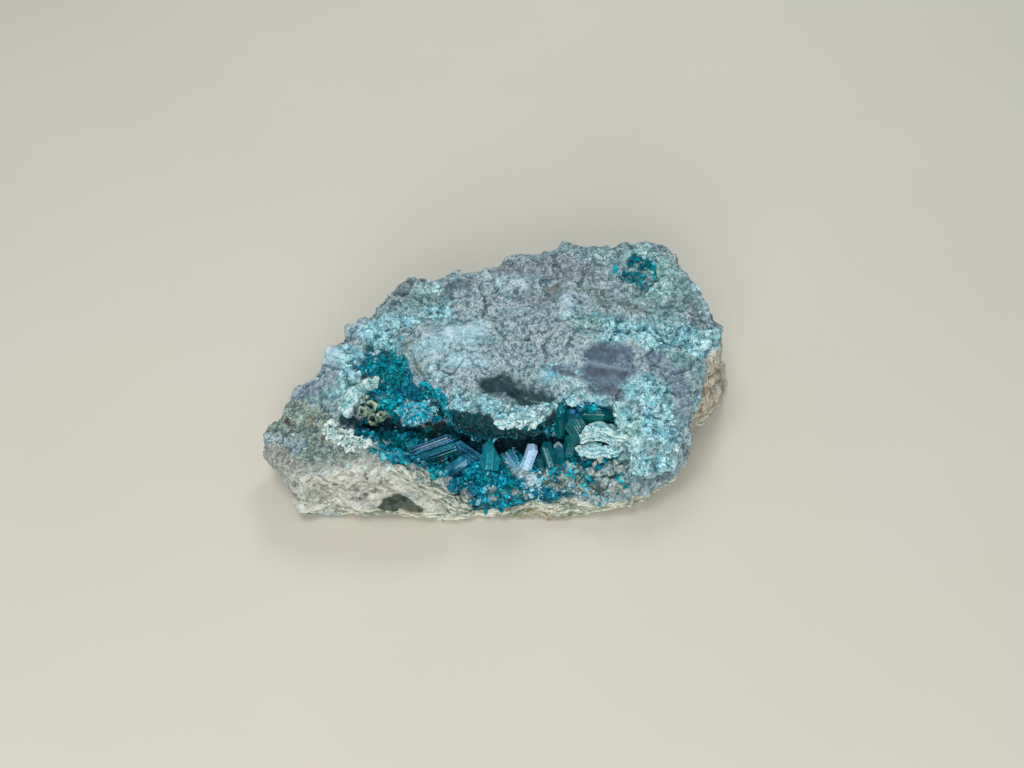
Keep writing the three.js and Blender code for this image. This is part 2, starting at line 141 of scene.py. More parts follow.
def coated(color, *coats):
    """A colour with coats laid over it in turn, each given as how far it covers and its colour."""
    for cover, coat in coats:
        color = cover.mix(color, tint(coat) if isinstance(coat, str) else coat)
    return color


def finish_for(name):
    """A new material: its surface shader, and a socket with a place on the piece in mm."""
    material = bpy.data.materials.new(name)
    material.use_nodes = True
    nodes = material.node_tree.nodes
    shader = nodes["Principled BSDF"]
    place = Socket(nodes.new("ShaderNodeTexCoord").outputs["Object"])
    place = place.stretched(1 / MM, 1 / MM, 1 / MM)
    return material, shader, place


def connect(shader, **values):
    """Links or sets the sockets of a surface shader; an underscore in a name stands for a space."""
    for name, value in values.items():
        socket = shader.inputs[name.replace("_", " ")]
        if isinstance(value, Socket):
            shader.id_data.links.new(value.socket, socket)
        else:
            socket.default_value = (*value, 1) if isinstance(value, tuple) and len(value) == 3 else value


def grain(place, size, detail=2, roughness=0.5, distortion=0.0, output=0):
    """Soft noise about 0.5, with lumps about size mm across."""
    values = {"Vector": place, "Scale": 1 / size, "Detail": detail, "Roughness": roughness}
    values["Distortion"] = distortion
    return place.make("ShaderNodeTexNoise", {}, values, output)


def bumped(height, depth, strength=1.0):
    """A surface raised by a height, as far as depth mm."""
    values = {"Strength": strength, "Distance": depth * MM, "Height": height}
    return height.make("ShaderNodeBump", {}, values)


floor_mesh = bpy.data.meshes.new("floor")
FLOOR = 3  # metres from the middle to each side
corners = [(FLOOR * x, FLOOR * y, 0) for x, y in ((-1, -1), (1, -1), (1, 1), (-1, 1))]
floor_mesh.from_pydata(corners, [], [(0, 1, 2, 3)])
floor = bpy.data.objects.new("floor", floor_mesh)
bpy.context.scene.collection.objects.link(floor)
floor_material, shader, place = finish_for("pale_floor")
connect(shader, Base_Color=grain(place, 60, 3).mix(tint("c9c4b3"), tint("cfcabc")), Roughness=0.75)
floor_mesh.materials.append(floor_material)

world = bpy.data.worlds.new("room")
bpy.context.scene.world = world
world.use_nodes = True
world.node_tree.nodes["Background"].inputs["Color"].default_value = (0.80, 0.88, 1.0, 1)
world.node_tree.nodes["Background"].inputs["Strength"].default_value = 0.38


def lamp(name, at, size, power, color):
    """A square lamp at a place in metres, facing the specimen."""
    data = bpy.data.lights.new(name, "AREA")
    data.size, data.energy, data.color = size, power, color
    light = bpy.data.objects.new(name, data)
    bpy.context.scene.collection.objects.link(light)
    light.location = at
    light.rotation_euler = Vector(at).to_track_quat("Z", "Y").to_euler()


lamp("soft_lamp", (-0.12, -0.04, 0.55), 0.22, 0.98, (1.0, 0.985, 0.95))
lamp("back_lamp", (0.08, 0.36, 0.40), 0.16, 0.75, (0.92, 0.97, 1.0))
lamp("front_lamp", (-0.05, -0.5, 0.24), 0.3, 2.3, (1.0, 0.98, 0.94))

# ---- Quartz matrix ----
# The broken lump of gray quartz that carries everything else, with the vug open along its front.
# Its coarse solid is laid out afresh with fine even faces, rounded where the coarse faces show, and then
# worked over region by region: crust, chalcedony, conchoidal quartz, laminae, groove.
FINE = 0.42  # mm between the points of the fine surface


def scramble(i, j, k, seed):
    """Whole-number hash of cells, 0 to 1."""
    h = (i * 73856093 ^ j * 19349663 ^ k * 83492791 ^ (seed * 2654435 + 97)) & 0xFFFFFFFF
    h = ((h ^ (h >> 13)) * 0x5BD1E995) & 0xFFFFFFFF
    h = ((h ^ (h >> 15)) * 0x27D4EB2F) & 0xFFFFFFFF
    return ((h ^ (h >> 16)) & 0xFFFFFF) / float(0x1000000)


def waves(points, size, seed=0, octaves=1):
    """Smooth noise from -1 to 1, with lumps about size mm across, at each point (mm)."""
    total, weight, weights = 0, 1.0, 0.0
    for octave in range(octaves):
        q = np.asarray(points) / (size / 2**octave) + 31.7 * octave
        cell = np.floor(q).astype(np.int64)
        f = q - cell
        f = f * f * (3 - 2 * f)
        value = 0
        for corner in range(8):
            step = [corner & 1, corner >> 1 & 1, corner >> 2]
            share = np.prod([f[:, a] if step[a] else 1 - f[:, a] for a in range(3)], axis=0)
            value = value + share * scramble(*[cell[:, a] + step[a] for a in range(3)], seed + octave)
        total = total + weight * (2 * value - 1)
        weights += weight
        weight /= 2
    return total / weights


def chipped(points, size, seed=0):
    """Flat facets about size mm across, each tilted its own way, from about -1 to 1, as on broken stone."""
    q = np.asarray(points) / size
    cell = np.floor(q).astype(np.int64)
    nearest, height = np.full(len(q), 9.0), np.zeros(len(q))
    for n in range(27):
        near = [cell[:, a] + n // 3**a % 3 - 1 for a in range(3)]
        off = q - np.stack([near[a] + scramble(*near, seed + 11 * a) for a in range(3)], axis=1)
        tilt = np.stack([2 * scramble(*near, seed + 50 + a) - 1 for a in range(3)], axis=1)
        distance = np.linalg.norm(off, axis=1)
        height = np.where(distance < nearest, (off * tilt).sum(axis=1) * 1.6, height)
        nearest = np.minimum(nearest, distance)
    return height


def step(values, low, high):
    """0 below low, 1 above high and smooth between."""
    t = np.clip((values - low) / (high - low), 0, 1)
    return t * t * (3 - 2 * t)


class Skin:
    """A closed mesh as arrays, in mm: its points, its faces, and what is worked out from them."""

    def __init__(self, mesh):
        self.points = np.empty(len(mesh.vertices) * 3, np.float32)
        mesh.vertices.foreach_get("co", self.points)
        self.points = self.points.reshape(-1, 3).astype(float) / MM
        self.mesh = mesh
        edges = np.empty(len(mesh.edges) * 2, np.int32)
        mesh.edges.foreach_get("vertices", edges)
        self.edges = edges.reshape(-1, 2)
        self.valence = np.bincount(self.edges.ravel(), minlength=len(self.points))[:, None]

    def averaged(self, values):
        """Each point's value, as the mean of its neighbours' values."""
        values = values.reshape(len(self.points), -1)
        a, b = self.edges.T
        columns = [
            np.bincount(a, values[b, n], len(self.points)) + np.bincount(b, values[a, n], len(self.points))
            for n in range(values.shape[1])
        ]
        return np.stack(columns, axis=1) / self.valence

    def smoothed(self, times, amount=0.5):
        for _ in range(times):
            self.points += amount * (self.averaged(self.points) - self.points)

    def write(self):
        self.mesh.vertices.foreach_set("co", (self.points * MM).astype(np.float32).ravel())
        self.mesh.update()

    def normals(self):
        self.write()
        normals = np.empty(len(self.points) * 3, np.float32)
        self.mesh.vertex_normals.foreach_get("vector", normals)
        return normals.reshape(-1, 3).astype(float)

    def keep(self, name, values):
        """Stores a number for each point, for the material to read."""
        layer = self.mesh.attributes.new(name, "FLOAT", "POINT")
        layer.data.foreach_set("value", np.clip(values, -1, 1).astype(np.float32).ravel())


def laid_afresh(shape, spacing, name):
    """A new object with a mesh's shape, its surface laid out at an even spacing (mm)."""
    piece = bpy.data.objects.new(name, shape.copy())
    bpy.context.scene.collection.objects.link(piece)
    remesh = piece.modifiers.new("even", "REMESH")
    remesh.mode, remesh.voxel_size = "VOXEL", spacing * MM
    mesh = bpy.data.meshes.new_from_object(piece.evaluated_get(bpy.context.evaluated_depsgraph_get()))
    piece.modifiers.clear()
    piece.data = mesh
    mesh.name = name
    mesh.materials.clear()
    return piece


rock = laid_afresh(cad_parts["matrix_rock"].data, FINE, "quartz_matrix")
skin = Skin(rock.data)
skin.smoothed(9)
sight = BVHTree.FromPolygons(skin.points.tolist(), [face.vertices[:] for face in rock.data.polygons])


PIXELS_PER_MM = 5.14
BESIDE = 224  # mm from the camera to the specimen


def ray_at(u, v):
    """The direction from the camera through a picture place, in pixels across and down."""
    ray = Vector(((u - PICTURE[0] / 2) / FOCAL_PIXELS, (PICTURE[1] / 2 - v) / FOCAL_PIXELS, -1))
    ray.rotate(camera.rotation_euler)
    return ray.normalized()


def seen(u, v):
    """The point (mm) of the rock that shows at a picture place, or one beside it where none shows."""
    hit = sight.ray_cast(Vector(CAMERA_AT), ray_at(u, v))[0]
    return np.array(hit if hit is not None else Vector(CAMERA_AT) + BESIDE * ray_at(u, v))


def around(points, strokes, warp, soft=0.6):
    """1 at the points (mm) within a stroke, 0 off them: picture places, then a half-width in pixels."""
    nearest = np.full(len(points), np.inf)
    for *places, width in strokes:
        ends = [seen(u, v) for u, v in places]
        for a, b in zip(ends, ends[1:] or ends):
            run = b - a
            t = np.clip((points - a) @ run / max(run @ run, 1e-9), 0, 1)
            distance = np.linalg.norm(points - a - t[:, None] * run, axis=1)
            nearest = np.minimum(nearest, distance - width / PIXELS_PER_MM)
    return step(-nearest + warp, -soft, soft)


# Where each kind of ground shows, from the lowest to the one laid over all: strokes of picture places with
# their half-widths, how far its border strays, how soft it is (mm), and its darker and lighter colour.
REGIONS = {
    "tinge": (
        [((640, 256), (670, 300), 22), ((660, 310), (690, 370), (660, 430), (640, 466), 26),
         ((590, 325), (640, 330), 16), ((380, 325), (350, 380), 20), ((440, 318), (400, 300), 18),
         ((470, 400), (560, 408), 12), ((300, 398), (330, 400), 12)],
        3.0, 4.0, "6c9ea4", "b4dcdc"),
    "sea": (
        [((392, 302), (420, 297), (450, 304), 12),
         ((570, 246), (612, 246), (650, 252), (676, 268), (694, 300), (700, 330), 10),
         ((640, 292), (676, 302), 12)],
        2.0, 2.6, "5a8688", "a4cbc7"),
    "brown": (
        [((500, 272), (540, 268), (590, 272), 12), ((520, 300), (560, 292), 8)],
        1.6, 2.6, "7b868f", "b9c2c8"),
    "knob": (
        [((392, 302), (402, 284), (422, 280), 9), ((445, 290), (470, 284), 5)],
        1.0, 1.4, "566a72", "8da2a9"),
    "violet": (
        [((298, 396), (312, 388), 12), ((326, 372), (338, 376), 8), ((650, 352), (676, 384), 12),
         ((682, 396), (686, 410), 9)],
        1.2, 1.5, "7488a0", "adc1d0"),
    "olive": (
        [((600, 300), (642, 308), 8), ((540, 290), (600, 293), 5), ((410, 348), (420, 370), 6),
         ((546, 402), (556, 398), 5)],
        1.4, 1.8, "71877f", "a3b7ad"),
    "chalcedony": (
        [((425, 350), (440, 335), (472, 333), 14), ((458, 360), (485, 362), 11),
         ((500, 280), (520, 280), 6), ((566, 298), (568, 312), 7), ((330, 350), (340, 358), 9),
         ((362, 326), (366, 334), 9)],
        1.8, 2.4, "8bb1c2", "c2e0ea"),
    "conchoidal": (
        [((596, 353), (624, 353), 14), ((596, 374), (626, 374), 15), ((592, 390), (622, 392), 8),
         ((556, 370), (572, 374), 7)],
        0.8, 2.4, "3f5467", "677d92"),
    # Painted shade on the darker facets of the conchoidal quartz, and a painted highlight along the ridge
    # between them.
    "shade": (
        [((593, 348), (603, 347), (614, 353), 5), ((594, 370), (612, 369), (628, 374), 5),
         ((594, 386), (604, 390), (618, 392), 4), ((556, 371), (570, 375), 3)],
        0.8, 1.5, "363d4b", "515c6c"),
    "lit_ridge": (
        [((588, 361), (606, 365), (629, 370), 1.6)],
        0.4, 1.1, "71849a", "8699ac"),
    "groove": (
        [((486, 382), (506, 386), (528, 392), (548, 396), 8), ((512, 392), (534, 400), 7)],
        0.8, 1.8, "04282f", "3e665f"),
    "green": (
        [((262, 430), (292, 414), (322, 432), 20), ((306, 452), (340, 456), (372, 462), 11),
         ((296, 464), (330, 468), (352, 470), 10)],
        1.6, 2.2, "66806f", "b6c8b4"),
    "gray": (
        [((262, 440), (280, 466), (292, 492), 18), ((284, 482), (304, 474), 9)],
        1.2, 1.6, "a09f92", "e0ddce"),
    "slate": (
        [((632, 484), (652, 480), (672, 472), 5), ((690, 300), (704, 324), (713, 340), 5)],
        1.0, 1.2, "5d7679", "93a9aa"),
    "cream": (
        [((306, 492), (350, 483), (395, 482), 25), ((400, 486), (445, 500), (470, 512), 17),
         ((312, 506), (360, 508), (384, 510), (420, 511), 11), ((340, 499), (372, 500), (432, 505), 10),
         ((436, 494), (456, 500), (466, 508), 8)],
        1.6, 1.6, "b4b8a8", "f8fbee"),
    "mottle": (
        [((362, 478), (378, 482), (392, 488), 6), ((352, 492), (362, 496), 3),
         ((326, 477), (340, 482), 2), ((298, 484), (300, 500), 5)],
        1.4, 1.0, "5f5857", "aaa49c"),
    "threads": (
        [((398, 468), (432, 480), (464, 502), 10), ((424, 490), (452, 506), 9),
         ((452, 506), (472, 514), 6)],
        1.4, 1.6, "5f7c70", "f4f6e0"),
    "inclusion": (
        [((383, 508), (400, 496), (417, 508), 6), ((390, 507), (401, 502), (413, 509), 7)],
        0.6, 0.6, "27332b", "5c6b5e"),
    "tan": (
        [((720, 354), (712, 380), (704, 410), (696, 432), 17)],
        1.2, 1.2, "cbb08a", "fff0d0"),
    "crust": (
        [((372, 336), (395, 322), (449, 312), 6), ((350, 357), (352, 378), 9),
         ((366, 330), (386, 346), 9), ((573, 320), (600, 321), 5),
         ((616, 328), (650, 336), (690, 338), 14), ((705, 345), (712, 335), 11),
         ((640, 386), (655, 402), (648, 420), (636, 440), 16), ((660, 425), (668, 452), 14),
         ((636, 458), (655, 466), 6), ((556, 399), (576, 394), (602, 402), 6),
         ((436, 372), (458, 392), 4), ((545, 374), (568, 380), 5),
         ((455, 404), (480, 410), (505, 415), (530, 416), (550, 406), (576, 394), (592, 398), 8),
         ((340, 392), (365, 388), 6), ((620, 412), (628, 425), 6)],
        2.0, 2.6, "70bfd1", "c4f0f8"),
    "mint": (
        [((600, 258), (640, 250), (662, 262), (664, 292), (645, 300), 9), ((420, 287), (430, 288), 6),
         ((575, 322), (598, 322), 5), ((344, 412), (352, 398), (374, 384), 8), ((612, 424), (630, 432), 8)],
        2.2, 2.6, "7cb1ac", "cdeae2"),
    "pale": (
        [((322, 428), (338, 437), (356, 446), 7), ((320, 466), (345, 464), (366, 468), (392, 470), 3),
         ((300, 425), (306, 436), 3)],
        3.4, 1.2, "9fae98", "f4fae2"),
    "teal": (
        [((368, 345), (370, 362), 3), ((384, 352), (396, 360), 5), ((366, 370), (390, 374), 4),
         ((356, 366), (364, 369), 3)],
        0.8, 0.6, "0d3a47", "1c7488"),
    "green_spot": (
        [((290, 506), (303, 514), 4), ((634, 503), (640, 500), 3)],
        0.8, 0.6, "2c5f58", "5f9c8c"),
    "red": (
        [((284, 421), (291, 424), 3)],
        0.7, 0.4, "3f1f1d", "6a3a34"),
    "rust": (
        [((493, 297), (502, 301), 2.5), ((549, 290), (556, 287), 2.5)],
        1.2, 1.6, "76675f", "a2968e"),
    "ochre": (
        [((309, 417), (313, 427), 1.6), ((408, 511), (418, 511), 2.5), ((604, 506), (624, 504), 4)],
        0.8, 0.6, "8a7440", "b8a468"),
}
points = skin.points.copy()
drift = 1.1 * waves(points, 3.2, 1, 2) + 0.7 * waves(points, 1.0, 2)
masks = {}
for name, (strokes, stray, soft, _, _) in REGIONS.items():
    masks[name] = around(points, strokes, stray * drift, soft)
for name in ("crust", "mint"):
    masks[name] *= (1 - 0.7 * masks["conchoidal"]) * (1 - 0.9 * masks["groove"])

# The back and the ends carry their own patches of crust, chalcedony, brown and tan ground.
x, y, z = points.T
far = step(y, 8, 15) * step(-skin.normals()[:, 2], -0.75, -0.4) + step(x, 34, 40)
end = step(x - 36.6 - 0.4 * np.maximum(z - 12, 0) + 0.7 * drift, -0.6, 0.6) * step(12 - y, 0, 4)
high = step(z - 20.4, -0.4, 0.4)
masks["slate"] = np.maximum(masks["slate"], end * high)
end = end * (1 - high)
masks["tan"] = np.maximum(masks["tan"], end)
far = np.clip(far, 0, 1) * (1 - end)
FAR_PATCHES = {  # size (mm), seed, and how high the noise stands where a patch begins
    "crust": (11, 70, 0.18), "chalcedony": (13, 71, 0.22), "brown": (12, 72, 0.1),
    "tan": (9, 73, 0.3), "mint": (8, 74, 0.34), "olive": (10, 75, 0.25),
}
for name, (size, seed, low) in FAR_PATCHES.items():
    height = waves(points * [1, 1, 1.4], size, seed, 3) + 0.12 * drift
    masks[name] = np.maximum(masks[name], far * step(height, low, low + 0.22))

# The vug's walls: all the ground near the dioptase, and the cave under the brow.
crystal_points = np.concatenate([
    np.array([corner.co[:] for corner in node.data.vertices]) / MM
    for name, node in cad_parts.items()
    if name.startswith("dioptase") and name != "dioptase_top_patch"
])
tree = KDTree(len(crystal_points))
for n, at in enumerate(crystal_points):
    tree.insert(at, n)
tree.balance()
to_crystal = np.array([tree.find(at)[2] for at in points])
cave = np.linalg.norm((points - [2, -14, 8.5]) / [16, 9, 6.5], axis=1)
OPEN = [
    ((424, 386), (436, 396), (446, 403), 7), ((442, 400), (446, 408), (440, 416), 7),
    ((372, 450), (388, 456), (404, 461), (420, 466), (436, 474), 4), ((372, 392), (376, 386), 5),
]
masks["vug"] = np.maximum(step(2.6 - to_crystal + drift, -0.6, 0.6), step(1 - cave, -0.03, 0.1))
opened = around(points, OPEN, 0.6 * drift)
masks["vug"] = np.maximum(masks["vug"], opened)
for name in ("crust", "mint", "cream", "pale", "threads"):
    masks[name] *= 1 - opened
LIPS = [((426, 484), (448, 494), (464, 508), 8), ((556, 397), (580, 393), (604, 397), (620, 405), 6)]
masks["vug"] *= 1 - around(points, LIPS, 0.5 * drift, 0.7)
SNOW = [
    ((512, 465), (522, 471), (532, 480), 8), ((370, 444), (388, 454), 6), ((378, 439), (388, 443), 3),
    ((552, 470), (566, 466), 4), ((408, 404), (428, 408), 6),
]
BEIGE = [
    ((492, 492), (526, 496), 6), ((548, 478), (572, 484), (596, 492), 10), ((560, 466), (590, 474), 6),
    ((450, 482), (468, 496), 7), ((600, 486), (620, 488), 7),
]
# Painted shade: BROW marks the shade under the brow, DEEP the cave and the shadowed clefts of the vug.
BROW = [
    ((455, 416), (470, 421), (490, 424), 6),
    ((456, 424), (468, 430), (500, 432), (540, 430), (552, 420), 10),
    ((466, 436), (500, 440), (540, 438), 8),
]
DEEP = [
    ((494, 446), (540, 447), 8), ((470, 428), (535, 428), 6), ((430, 434), (452, 430), 4),
    ((372, 414), (386, 420), 4), ((346, 420), (372, 426), 7), ((384, 421), (400, 428), (426, 431), 4),
    ((428, 424), (444, 424), 5), ((437, 404), (445, 412), (442, 424), 5),
]
BETWEEN = [
    ((612, 460), (613, 474), 3), ((598, 470), (602, 474), 2.5), ((604, 462), (606, 466), 2.5),
    ((615, 476), (618, 480), 2.5), ((604, 478), (622, 480), 2.5), ((570, 460), (590, 462), 3),
]
TOP_CRYSTALS = [
    ((632, 259), (652, 266), 4), ((622, 276), (646, 284), 5), ((613, 269), (615, 274), 2.5),
    ((655, 274), 2.5),
]
masks["between"] = around(points, BETWEEN, 0.5 * drift, 0.6)
masks["patch"] = around(points, TOP_CRYSTALS, 0.9 * drift, 0.6)
masks["snow"] = around(points, SNOW, 1.3 * drift, 0.9)
masks["beige"] = around(points, BEIGE, 1.3 * drift, 0.9)
shaded = around(points, DEEP, 0.6 * drift, 0.9)
under_brow = 0.95 * around(points, BROW, 0.8 * drift, 0.9)
# The top patch also takes a little of this darkness, as the deeper teal of its own crystals.
masks["deep"] = np.max([shaded, under_brow, 0.3 * masks["patch"]], axis=0)
layer_height = 2.6 + 1.2 * waves(points * [0.5, 0.5, 1], 5, 3, 2) + np.clip((x + 4) * 0.12, 0, 1.9)
masks["lamina"] = step(layer_height - z, -0.5, 0.5) * step(x, -38, -27)
masks["vug"] *= (1 - 0.85 * masks["beige"]) * (1 - 0.85 * masks["lamina"]) * (1 - 0.95 * masks["crust"])
masks["vug"] = np.maximum(masks["vug"] * (1 - 0.9 * masks["mint"]), masks["between"])

# Crust, mint, beige and snow give way to the painted shade.
for name in ("crust", "mint", "beige", "snow"):
    masks[name] *= 1 - np.clip(1.6 * masks["deep"], 0, 1)

# Relief, in mm along the surface's normal.
LOBES = [
    ((428, 338), (434, 362), 9), ((452, 332), (488, 324), 8), ((500, 279), (522, 283), 6),
    ((566, 298), (566, 312), 7),
]
KNOBS = [
    ((362, 322), (368, 330), 7), ((330, 350), (338, 356), 6), ((402, 282), (412, 278), 6),
    ((296, 396), (300, 390), 5), ((566, 476), (572, 482), 6), ((584, 486), (590, 490), 6),
    ((508, 492), (514, 494), 5), ((552, 486), (556, 488), 4),
]
CORNER = [((300, 486), (304, 506), 8)]
CRACKS = [
    ((618, 320), (626, 315), 1.6), ((622, 463), (640, 459), (652, 460), 2.0),
    ((326, 364), (343, 372), (350, 384), 1.2), ((410, 350), (418, 368), (428, 378), 1.6),
    ((590, 386), (596, 392), 1.0), ((660, 408), (668, 420), 1.0),
    ((301, 424), (313, 462), (309, 497), 1.4), ((574, 324), (600, 330), (622, 346), (634, 366), 1.2),
    ((604, 400), (622, 400), 1.0),
]
normals = skin.normals()
CALM = ("chalcedony", "conchoidal", "groove", "olive", "vug", "cream", "gray", "shade")
calm = np.max([masks[name] for name in CALM], axis=0)
relief = 0.35 * waves(points, 7, 20, 2) + 0.35 * np.abs(waves(points, 4.2, 21)) - 0.1
crag = 1 - np.abs(waves(points, 2.6, 22, 3)) * 2
relief += (0.24 - 0.16 * calm) * (crag - 0.4) + (0.2 - 0.17 * calm) * waves(points, 0.95, 23)
relief += (0.2 - 0.12 * calm) * waves(points, 1.9, 24, 2)
relief += (0.6 - 0.4 * calm) * chipped(points + 0.35 * drift[:, None], 5.5, 60)
relief += (0.16 - 0.13 * calm) * chipped(points + 0.2 * drift[:, None], 2.4, 61)
relief += 0.7 * around(points, LOBES, 0.3 * drift, 1.2) + 1.0 * around(points, KNOBS, 0.4 * drift, 0.8)
relief -= 0.6 * around(points, CRACKS, 0.25 * drift, 0.35)
relief += 1.5 * around(points, CORNER, 0.4 * drift, 1.6)
slanted = points @ np.array([[0.35, 0.9, 0.2], [-0.9, 0.35, 0.1], [0, 0, 0.8]]).T
furrow = 1 - 2 * np.abs(waves(slanted * [1.0, 0.45, 1.0], 1.9, 30, 2))
relief += masks["crust"] * (0.2 + 0.5 * (furrow - 0.5) - 0.9 * step(waves(points, 1.7, 31, 2), 0.12, 0.38))
relief -= 0.5 * masks["crust"] * step(waves(points, 1.0, 43, 2), 0.12, 0.4)
relief += masks["mint"] * (0.1 - 0.5 * step(waves(points, 1.2, 32, 2), 0.2, 0.5))
shell = np.linalg.norm(points - [22, 34, 26], axis=1) / 3.1 + 0.8 * waves(points, 4.5, 33, 2)
relief += masks["conchoidal"] * 0.15 * np.abs(np.sin(np.pi * shell))
relief += 0.15 * masks["lit_ridge"] - 0.3 * masks["shade"]
scratch = np.sin(6.0 * (points @ [0.25, 1.0, 0.3]) + 3 * waves(points, 4, 35))
relief -= masks["groove"] * (1.5 + 0.12 * scratch)
bend = np.stack([waves(points, 7, 36 + n, 2) for n in range(3)], axis=1)
swept = points * [0.5, 0.6, 1.0] + 3.2 * bend
fold = 1 - 2.4 * np.abs(waves(swept, 1.5, 42, 2))
masks["fold"] = fold * masks["cream"] * (1 - masks["inclusion"]) * (1 - 0.8 * masks["threads"])
lumps = 0.9 * waves(points, 5.2, 37, 2) + 0.25 * waves(points, 1.5, 41, 2)
relief += masks["cream"] * (0.32 * fold + lumps - 0.3)
fibre = [points @ [0.82, 0, -0.57] * 0.25, points @ [0.57, 0.4, 0.82] * 0.8, 1.5 * waves(points, 4, 44)]
relief += 0.35 * masks["threads"] * (1 - 2 * np.abs(waves(np.stack(fibre, axis=1), 1.0, 45, 2)))
relief += masks["inclusion"] * 0.2 - masks["teal"] * 0.5
bedding = z / 0.8 + 1.3 * waves(points * [0.4, 0.4, 1], 3.5, 38, 2)
relief += masks["lamina"] * (0.35 * (bedding % 1.0) - 0.1)
relief += masks["tan"] * (0.7 * waves(points * [1, 1, 0.5], 2.6, 39, 2))
relief += masks["beige"] * 0.5 * waves(points, 2.0, 40, 2)
relief -= masks["vug"] * 0.25
skin.points += normals * relief[:, None]
skin.points[:, 2] = np.maximum(skin.points[:, 2], np.where(z < 0.15, 0, 0.02))
skin.points[z < 0.15, 2] = np.maximum(z[z < 0.15], 0)
skin.write()


def hollows(skin, fine, broad, spread):
    """How hollow a skin is at each point, against its near and its wider neighbours."""
    near = skin.averaged(skin.averaged(skin.points))
    wide = near
    for _ in range(spread):
        wide = skin.averaged(wide)
    normals = skin.normals()
    depths = [((level - skin.points) * normals).sum(axis=1) for level in (near, wide)]
    return depths[0] / fine + depths[1] / broad


# How hollow each point is: the materials paint shade into the hollows and highlights onto the ridges from
# it.
masks["pit"] = hollows(skin, 0.12, 0.5, 6)
for name, values in masks.items():
    skin.keep(name, values)


def mask(place, name, sharp=1.0, warp=None):
    """A stored number of the mesh, with its border drawn sharper and shaken where a noise is given."""
    value = place.make("ShaderNodeAttribute", {"attribute_name": name}, {}, 2)
    if warp is None:
        return value
    return (value + (warp - 0.5) * 0.9).between(0.5 - 0.5 / sharp, 0.5 + 0.5 / sharp)


quartz, shader, place = finish_for("quartz_matrix")
speckle = grain(place, 0.3, 2, 0.6)
grit = grain(place, 0.9, 4, 0.72)
patch = grain(place, 2.6, 4, 0.65)
crests = grain(place, 1.1, 5, 0.7).ridged()
swirl = grain(place, 3.6, 6, 0.62, 2.2).ridged()
edge = grain(place, 0.6, 4, 0.7)
texture = speckle * 0.34 + grit * 0.5 + patch * 0.16
color = coated(
    patch.shades(0.4, 0.6, "8cb8c5", "c0e2ea"),
    (grain(place, 11, 3).between(0.4, 0.65) * 0.5, "96b2b6"),
    (texture.between(0.49, 0.56) * 0.85, "ecf6f6"),
    (texture.between(0.47, 0.41) * 0.9, "3e5f6a"),
    (speckle.between(0.58, 0.68) * 0.45, "f2fafb"),
    (speckle.between(0.42, 0.34) * 0.45, "34494f"),
)
folds = grain(place, 7, 3, 0.55, output=1).stretched(14.0, 14.0, 16.0)
folded = place.vector("ADD", place.stretched(0.45, 0.6, 1.0), folds)
streaks = grain(folded, 4.0, 3, 0.55)
hair = grain(folded, 3.2, 2).ridged()
swell = grain(folded, 8.0, 2).ridged()
along = place.vector("DOT_PRODUCT", place, (0.82, 0.0, -0.57), output=1)
across = place.vector("DOT_PRODUCT", place, (0.57, 0.4, 0.82), output=1)
run = place.make("ShaderNodeCombineXYZ", {}, {0: along * 0.22, 1: across * 1.5, 2: grain(place, 4, 2) * 3})
threads = grain(run, 0.9, 4, 0.62)
smoky = patch.between(0.38, 0.62) * 0.75 + texture.between(0.43, 0.57) * 0.25
blends = {
    "cream": streaks.between(0.42, 0.55) * 0.5 + texture.between(0.43, 0.57) * 0.5,
    "groove": threads.between(0.42, 0.6),
    "threads": threads.between(0.46, 0.54),
    "tan": grain(place.stretched(1.2, 0.25, 0.6), 0.8, 4, 0.66).between(0.42, 0.56),
    "pale": swirl.between(0.7, 0.97) * 0.45 + texture.between(0.4, 0.6) * 0.45,
    **dict.fromkeys(("conchoidal", "shade", "lit_ridge", "inclusion"), smoky),
}
for name, (_, _, _, dark, light) in REGIONS.items():
    blend = blends.get(name, texture.between(0.43, 0.57))
    if name in ("crust", "mint"):
        shown = (mask(place, name) + (edge - 0.5) * 0.7).between(0.12, 0.55)
    else:
        shown = mask(place, name, 1.7, edge)
    color = shown.mix(color, blend.mix(tint(dark), tint(light)))

crust, cream, fold, deep = (mask(place, name) for name in ("crust", "cream", "fold", "deep"))
blotch = grain(place, 3.4, 4, 0.6)
contorted = cream * (1 - mask(place, "inclusion", 1.7, edge)) * (1 - mask(place, "threads") * 0.85)
bare = 1 - (cream * 0.75 + mask(place, "inclusion") * 0.9 + mask(place, "conchoidal") * 0.6)
color = coated(
    color,
    # Dark teal blots in the crust: painted shade among its curls.
    (crust * grain(place, 1.6, 4, 0.65).between(0.45, 0.37) * 0.75, "226270"),
    (crust * texture.between(0.53, 0.58) * 0.5, "ecfaf8"),
    (crust * blotch.between(0.52, 0.6) * 0.5, "e0f8fa"),
    (crust * blotch.between(0.46, 0.38) * 0.5, "4a909e"),
    (fold.between(0.25, 0.9) * 0.6, "f4f6e8"),
    (fold.between(0.0, -0.5) * 0.45, "85826f"),
    (contorted * grain(place, 5, 4).between(0.52, 0.60) * 0.35, "8f8a84"),
    (contorted * streaks.ridged().between(0.9, 0.99) * 0.5, "8d8577"),
    (contorted * swell.between(0.8, 0.35) * 0.48, "8b8c7e"),
    (contorted * hair.between(0.7, 0.35) * 0.6, "686a62"),
    (contorted * hair.between(0.86, 0.98) * 0.5, "f6fae8"),
    # Painted shade between the crests of the bumped relief, over a slight even darkening of the bare
    # ground.
    ((crests.between(0.95, 0.5) * 0.5 + 0.16) * bare * (1 - mask(place, "chalcedony") * 0.3), "3d6876"),
)
bedded = place.stretched(0.22, 0.22, 1.3)
layers = grain(bedded, 0.7, 5, 0.65)
